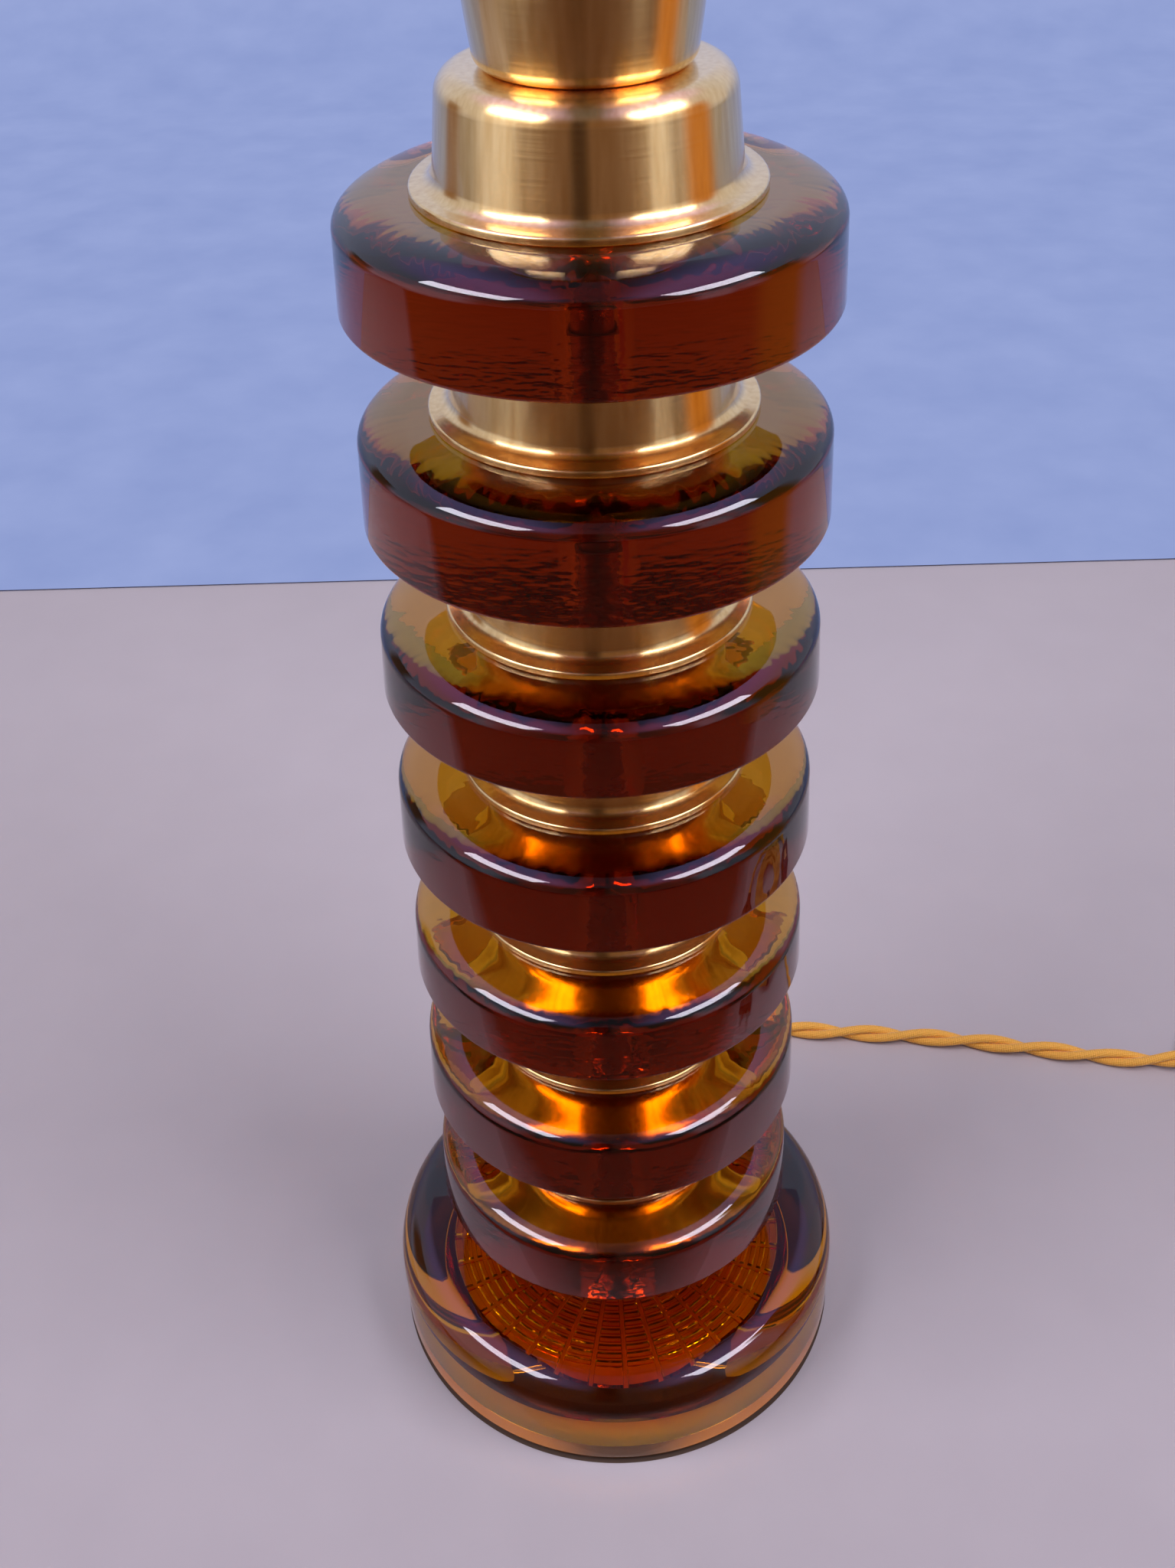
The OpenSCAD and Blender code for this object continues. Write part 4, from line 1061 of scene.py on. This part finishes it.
SWEEP_FRONT_Y = 0.47
SWEEP_BACK_Y = 1.9
SWEEP_LOW_Z = 0.001
SWEEP_TOP_Z = 2.4
SWEEP_ROUND = 0.5
SWEEP_ROUND_STEPS = 16
SWEEP_HALF_W = 2.6
round_y = SWEEP_BACK_Y - SWEEP_ROUND
sweep_line = [(SWEEP_FRONT_Y, SWEEP_LOW_Z), (round_y, SWEEP_LOW_Z)]
sweep_line += arc((round_y, SWEEP_ROUND), (SWEEP_ROUND, SWEEP_ROUND), -90, 0, SWEEP_ROUND_STEPS)[1:]
sweep_line.append((SWEEP_BACK_Y, SWEEP_TOP_Z))
sheet_on_stage(
    "sweep",
    [(side * SWEEP_HALF_W, y, z) for y, z in sweep_line for side in (-1, 1)],
    [(2 * i, 2 * i + 1, 2 * i + 3, 2 * i + 2) for i in range(len(sweep_line) - 1)],
    sweep_cloth(),
)

AIM_HEIGHT = 0.2


def softbox(name, azimuth, elevation, distance, width, height, power):
    """A soft rectangular lamp, aimed at the middle of the column. The azimuth counts from the viewer to the
    right."""
    lamp = bpy.data.lights.new(name, "AREA")
    lamp.shape = "RECTANGLE"
    lamp.size = width
    lamp.size_y = height
    lamp.energy = power
    lamp.color = linear("#f2f0ff")[:3]
    a = math.radians(azimuth)
    e = math.radians(elevation)
    towards = Vector((math.cos(e) * math.sin(a), -math.cos(e) * math.cos(a), math.sin(e)))
    holder = bpy.data.objects.new(name, lamp)
    holder.location = Vector((0, 0, AIM_HEIGHT)) + towards * distance
    holder.rotation_euler = towards.to_track_quat("Z", "Y").to_euler()
    holder.visible_camera = False
    scene.collection.objects.link(holder)


for name, azimuth in (("softbox_left", -63), ("softbox_right", 63)):
    softbox(name, azimuth, elevation=47, distance=1.25, width=0.82, height=0.3, power=11.2)

PAINTED_SHEET_RISE = 0.2


def painted_reflection_sheet(name, corners, material, density, face):
    """A sheet of the stage that paints reflected light and shade: no straight view shows it, only reflections
    and views through glass.
    """
    tree = material.node_tree
    share = add(tree, "Math", {0: density.outputs[0], 1: seen_share(tree)}, operation="MULTIPLY")
    clear = add(tree, "BsdfTransparent")
    sheet = add(tree, "MixShader", {0: share.outputs[0], 1: clear.outputs[0], 2: face.outputs[0]})
    add(tree, "OutputMaterial", {"Surface": sheet.outputs[0]})
    stage = sheet_on_stage(name, corners, [(0, 1, 2, 3)], material)
    stage.visible_camera = False
    stage.visible_diffuse = False
    return stage


def painted_reflection_card(name, azimuth, distance, width, low_z, high_z, colour):
    """A glowing sheet that faces the lamp and paints a reflection. It is full in its middle third and faded
    to its sides and lower edge.
    """
    a = math.radians(azimuth)
    middle = Vector((math.sin(a), -math.cos(a), 0)) * distance
    across = Vector((math.cos(a), math.sin(a), 0))
    material, tree, place = new_material(name)
    height = add(tree, "SeparateXYZ", {"Vector": place}).outputs["Z"]
    rise = add(tree, "MapRange", {"Value": height, "From Min": low_z, "From Max": low_z + PAINTED_SHEET_RISE},
               interpolation_type="SMOOTHSTEP")
    off = add(tree, "VectorMath", {0: place, 1: across}, operation="DOT_PRODUCT").outputs["Value"]
    aside = add(tree, "Math", {0: off}, operation="ABSOLUTE").outputs[0]
    edge = add(tree, "MapRange", {"Value": aside, "From Min": width / 2, "From Max": width / 6},
               interpolation_type="SMOOTHSTEP")
    fade = add(tree, "Math", {0: rise.outputs["Result"], 1: edge.outputs["Result"]}, operation="MULTIPLY")
    face = add(tree, "Emission", {"Color": linear(colour), "Strength": 1.0})
    half = across * width / 2
    low = Vector((0, 0, low_z))
    high = Vector((0, 0, high_z))
    corners = [middle - half + low, middle + half + low, middle + half + high, middle - half + high]
    painted_reflection_sheet(name, corners, material, fade, face)


# Painted reflections: bright streaks, a dark middle, and brown and orange patches in the brass and glass
painted_reflection_card("painted_reflection_white_left", azimuth=-69, distance=0.9, width=0.8, low_z=0.1, high_z=0.75, colour="#e8e8ff")
painted_reflection_card("painted_reflection_white_right", azimuth=52, distance=0.9, width=0.38, low_z=0.1, high_z=0.75, colour="#e4e4fa")
painted_reflection_card("painted_reflection_dark_middle", azimuth=-6, distance=0.8, width=0.24, low_z=0.06, high_z=1.0, colour="#3a2a22")
painted_reflection_card("painted_reflection_brown_left", azimuth=-114, distance=0.9, width=0.4, low_z=0.08, high_z=0.6, colour="#8a6a52")
painted_reflection_card("painted_reflection_orange_right", azimuth=85, distance=0.45, width=0.3, low_z=-0.1, high_z=0.6, colour="#c48238")

SHADE_Z = 0.002
SHADE_HALF_W = 1.5
SHADE_BACK_Y = -0.074
SHADE_FRONT_Y = -2.5
SHADE_START_Y = -0.06
SHADE_FULL_Y = -0.12


def front_shade():
    """Painted shade: a dark sheet on the floor in front of the lamp, which grows denser away from it and
    shows only in reflections."""
    material, tree, place = new_material("painted_shade_floor_sheet")
    depth = add(tree, "SeparateXYZ", {"Vector": place}).outputs["Y"]
    dense = add(tree, "MapRange", {"Value": depth, "From Min": SHADE_START_Y, "From Max": SHADE_FULL_Y})
    dark = add(tree, "BsdfDiffuse", {"Color": linear("#664a3a")})
    corners = level_corners(SHADE_HALF_W, SHADE_FRONT_Y, SHADE_BACK_Y, SHADE_Z)
    stage = painted_reflection_sheet("painted_shade_floor_sheet", corners, material, dense, dark)
    stage.visible_transmission = False
    stage.visible_shadow = False


front_shade()

# Brighter than white in its blue, so no hex value
LILAC_FLANK = (0.85, 0.68, 1.6, 1)


def room():
    """The room beyond the stage: dim brown behind the viewer, pale to the sides and behind the lamp, with a
    ceiling that is grey between lilac flanks. Brass and glass show it brighter than the light it gives."""
    world = bpy.data.worlds.new("room")
    world.use_nodes = True
    tree = world.node_tree
    tree.nodes.clear()
    way = add(tree, "SeparateXYZ", {"Vector": add(tree, "TexCoord").outputs["Generated"]})
    back = add(tree, "MapRange", {"Value": way.outputs["Y"], "From Min": -0.85, "From Max": -0.1},
               interpolation_type="SMOOTHSTEP")
    up = add(tree, "MapRange", {"Value": way.outputs["Z"], "From Min": 0.55, "From Max": 0.85},
             interpolation_type="SMOOTHSTEP")
    wall = add(tree, "Mix", {0: back.outputs["Result"], 6: linear("#80624e"), 7: linear("#d4d8f4")})
    sideways = add(tree, "Math", {0: way.outputs["X"]}, operation="ABSOLUTE").outputs[0]
    flank = add(tree, "MapRange", {"Value": sideways, "From Min": 0.08, "From Max": 0.4},
                interpolation_type="SMOOTHSTEP")
    ceiling = add(tree, "Mix", {0: flank.outputs["Result"], 6: linear("#6a6670"), 7: LILAC_FLANK})
    shown = add(tree, "Mix", {0: up.outputs["Result"], 6: wall.outputs[2], 7: ceiling.outputs[2]})
    height = add(tree, "MapRange", {"Value": way.outputs["Z"], "From Max": 0.8})
    light = add(tree, "Mix", {0: height.outputs["Result"], 6: linear("#4c4a50"), 7: linear("#9a98a2")})
    colour = add(tree, "Mix", {0: seen_share(tree), 6: light.outputs[2], 7: shown.outputs[2]})
    glow = add(tree, "Background", {"Color": colour.outputs[2], "Strength": 1.0})
    add(tree, "OutputWorld", {"Surface": glow.outputs[0]})
    scene.world = world


room()
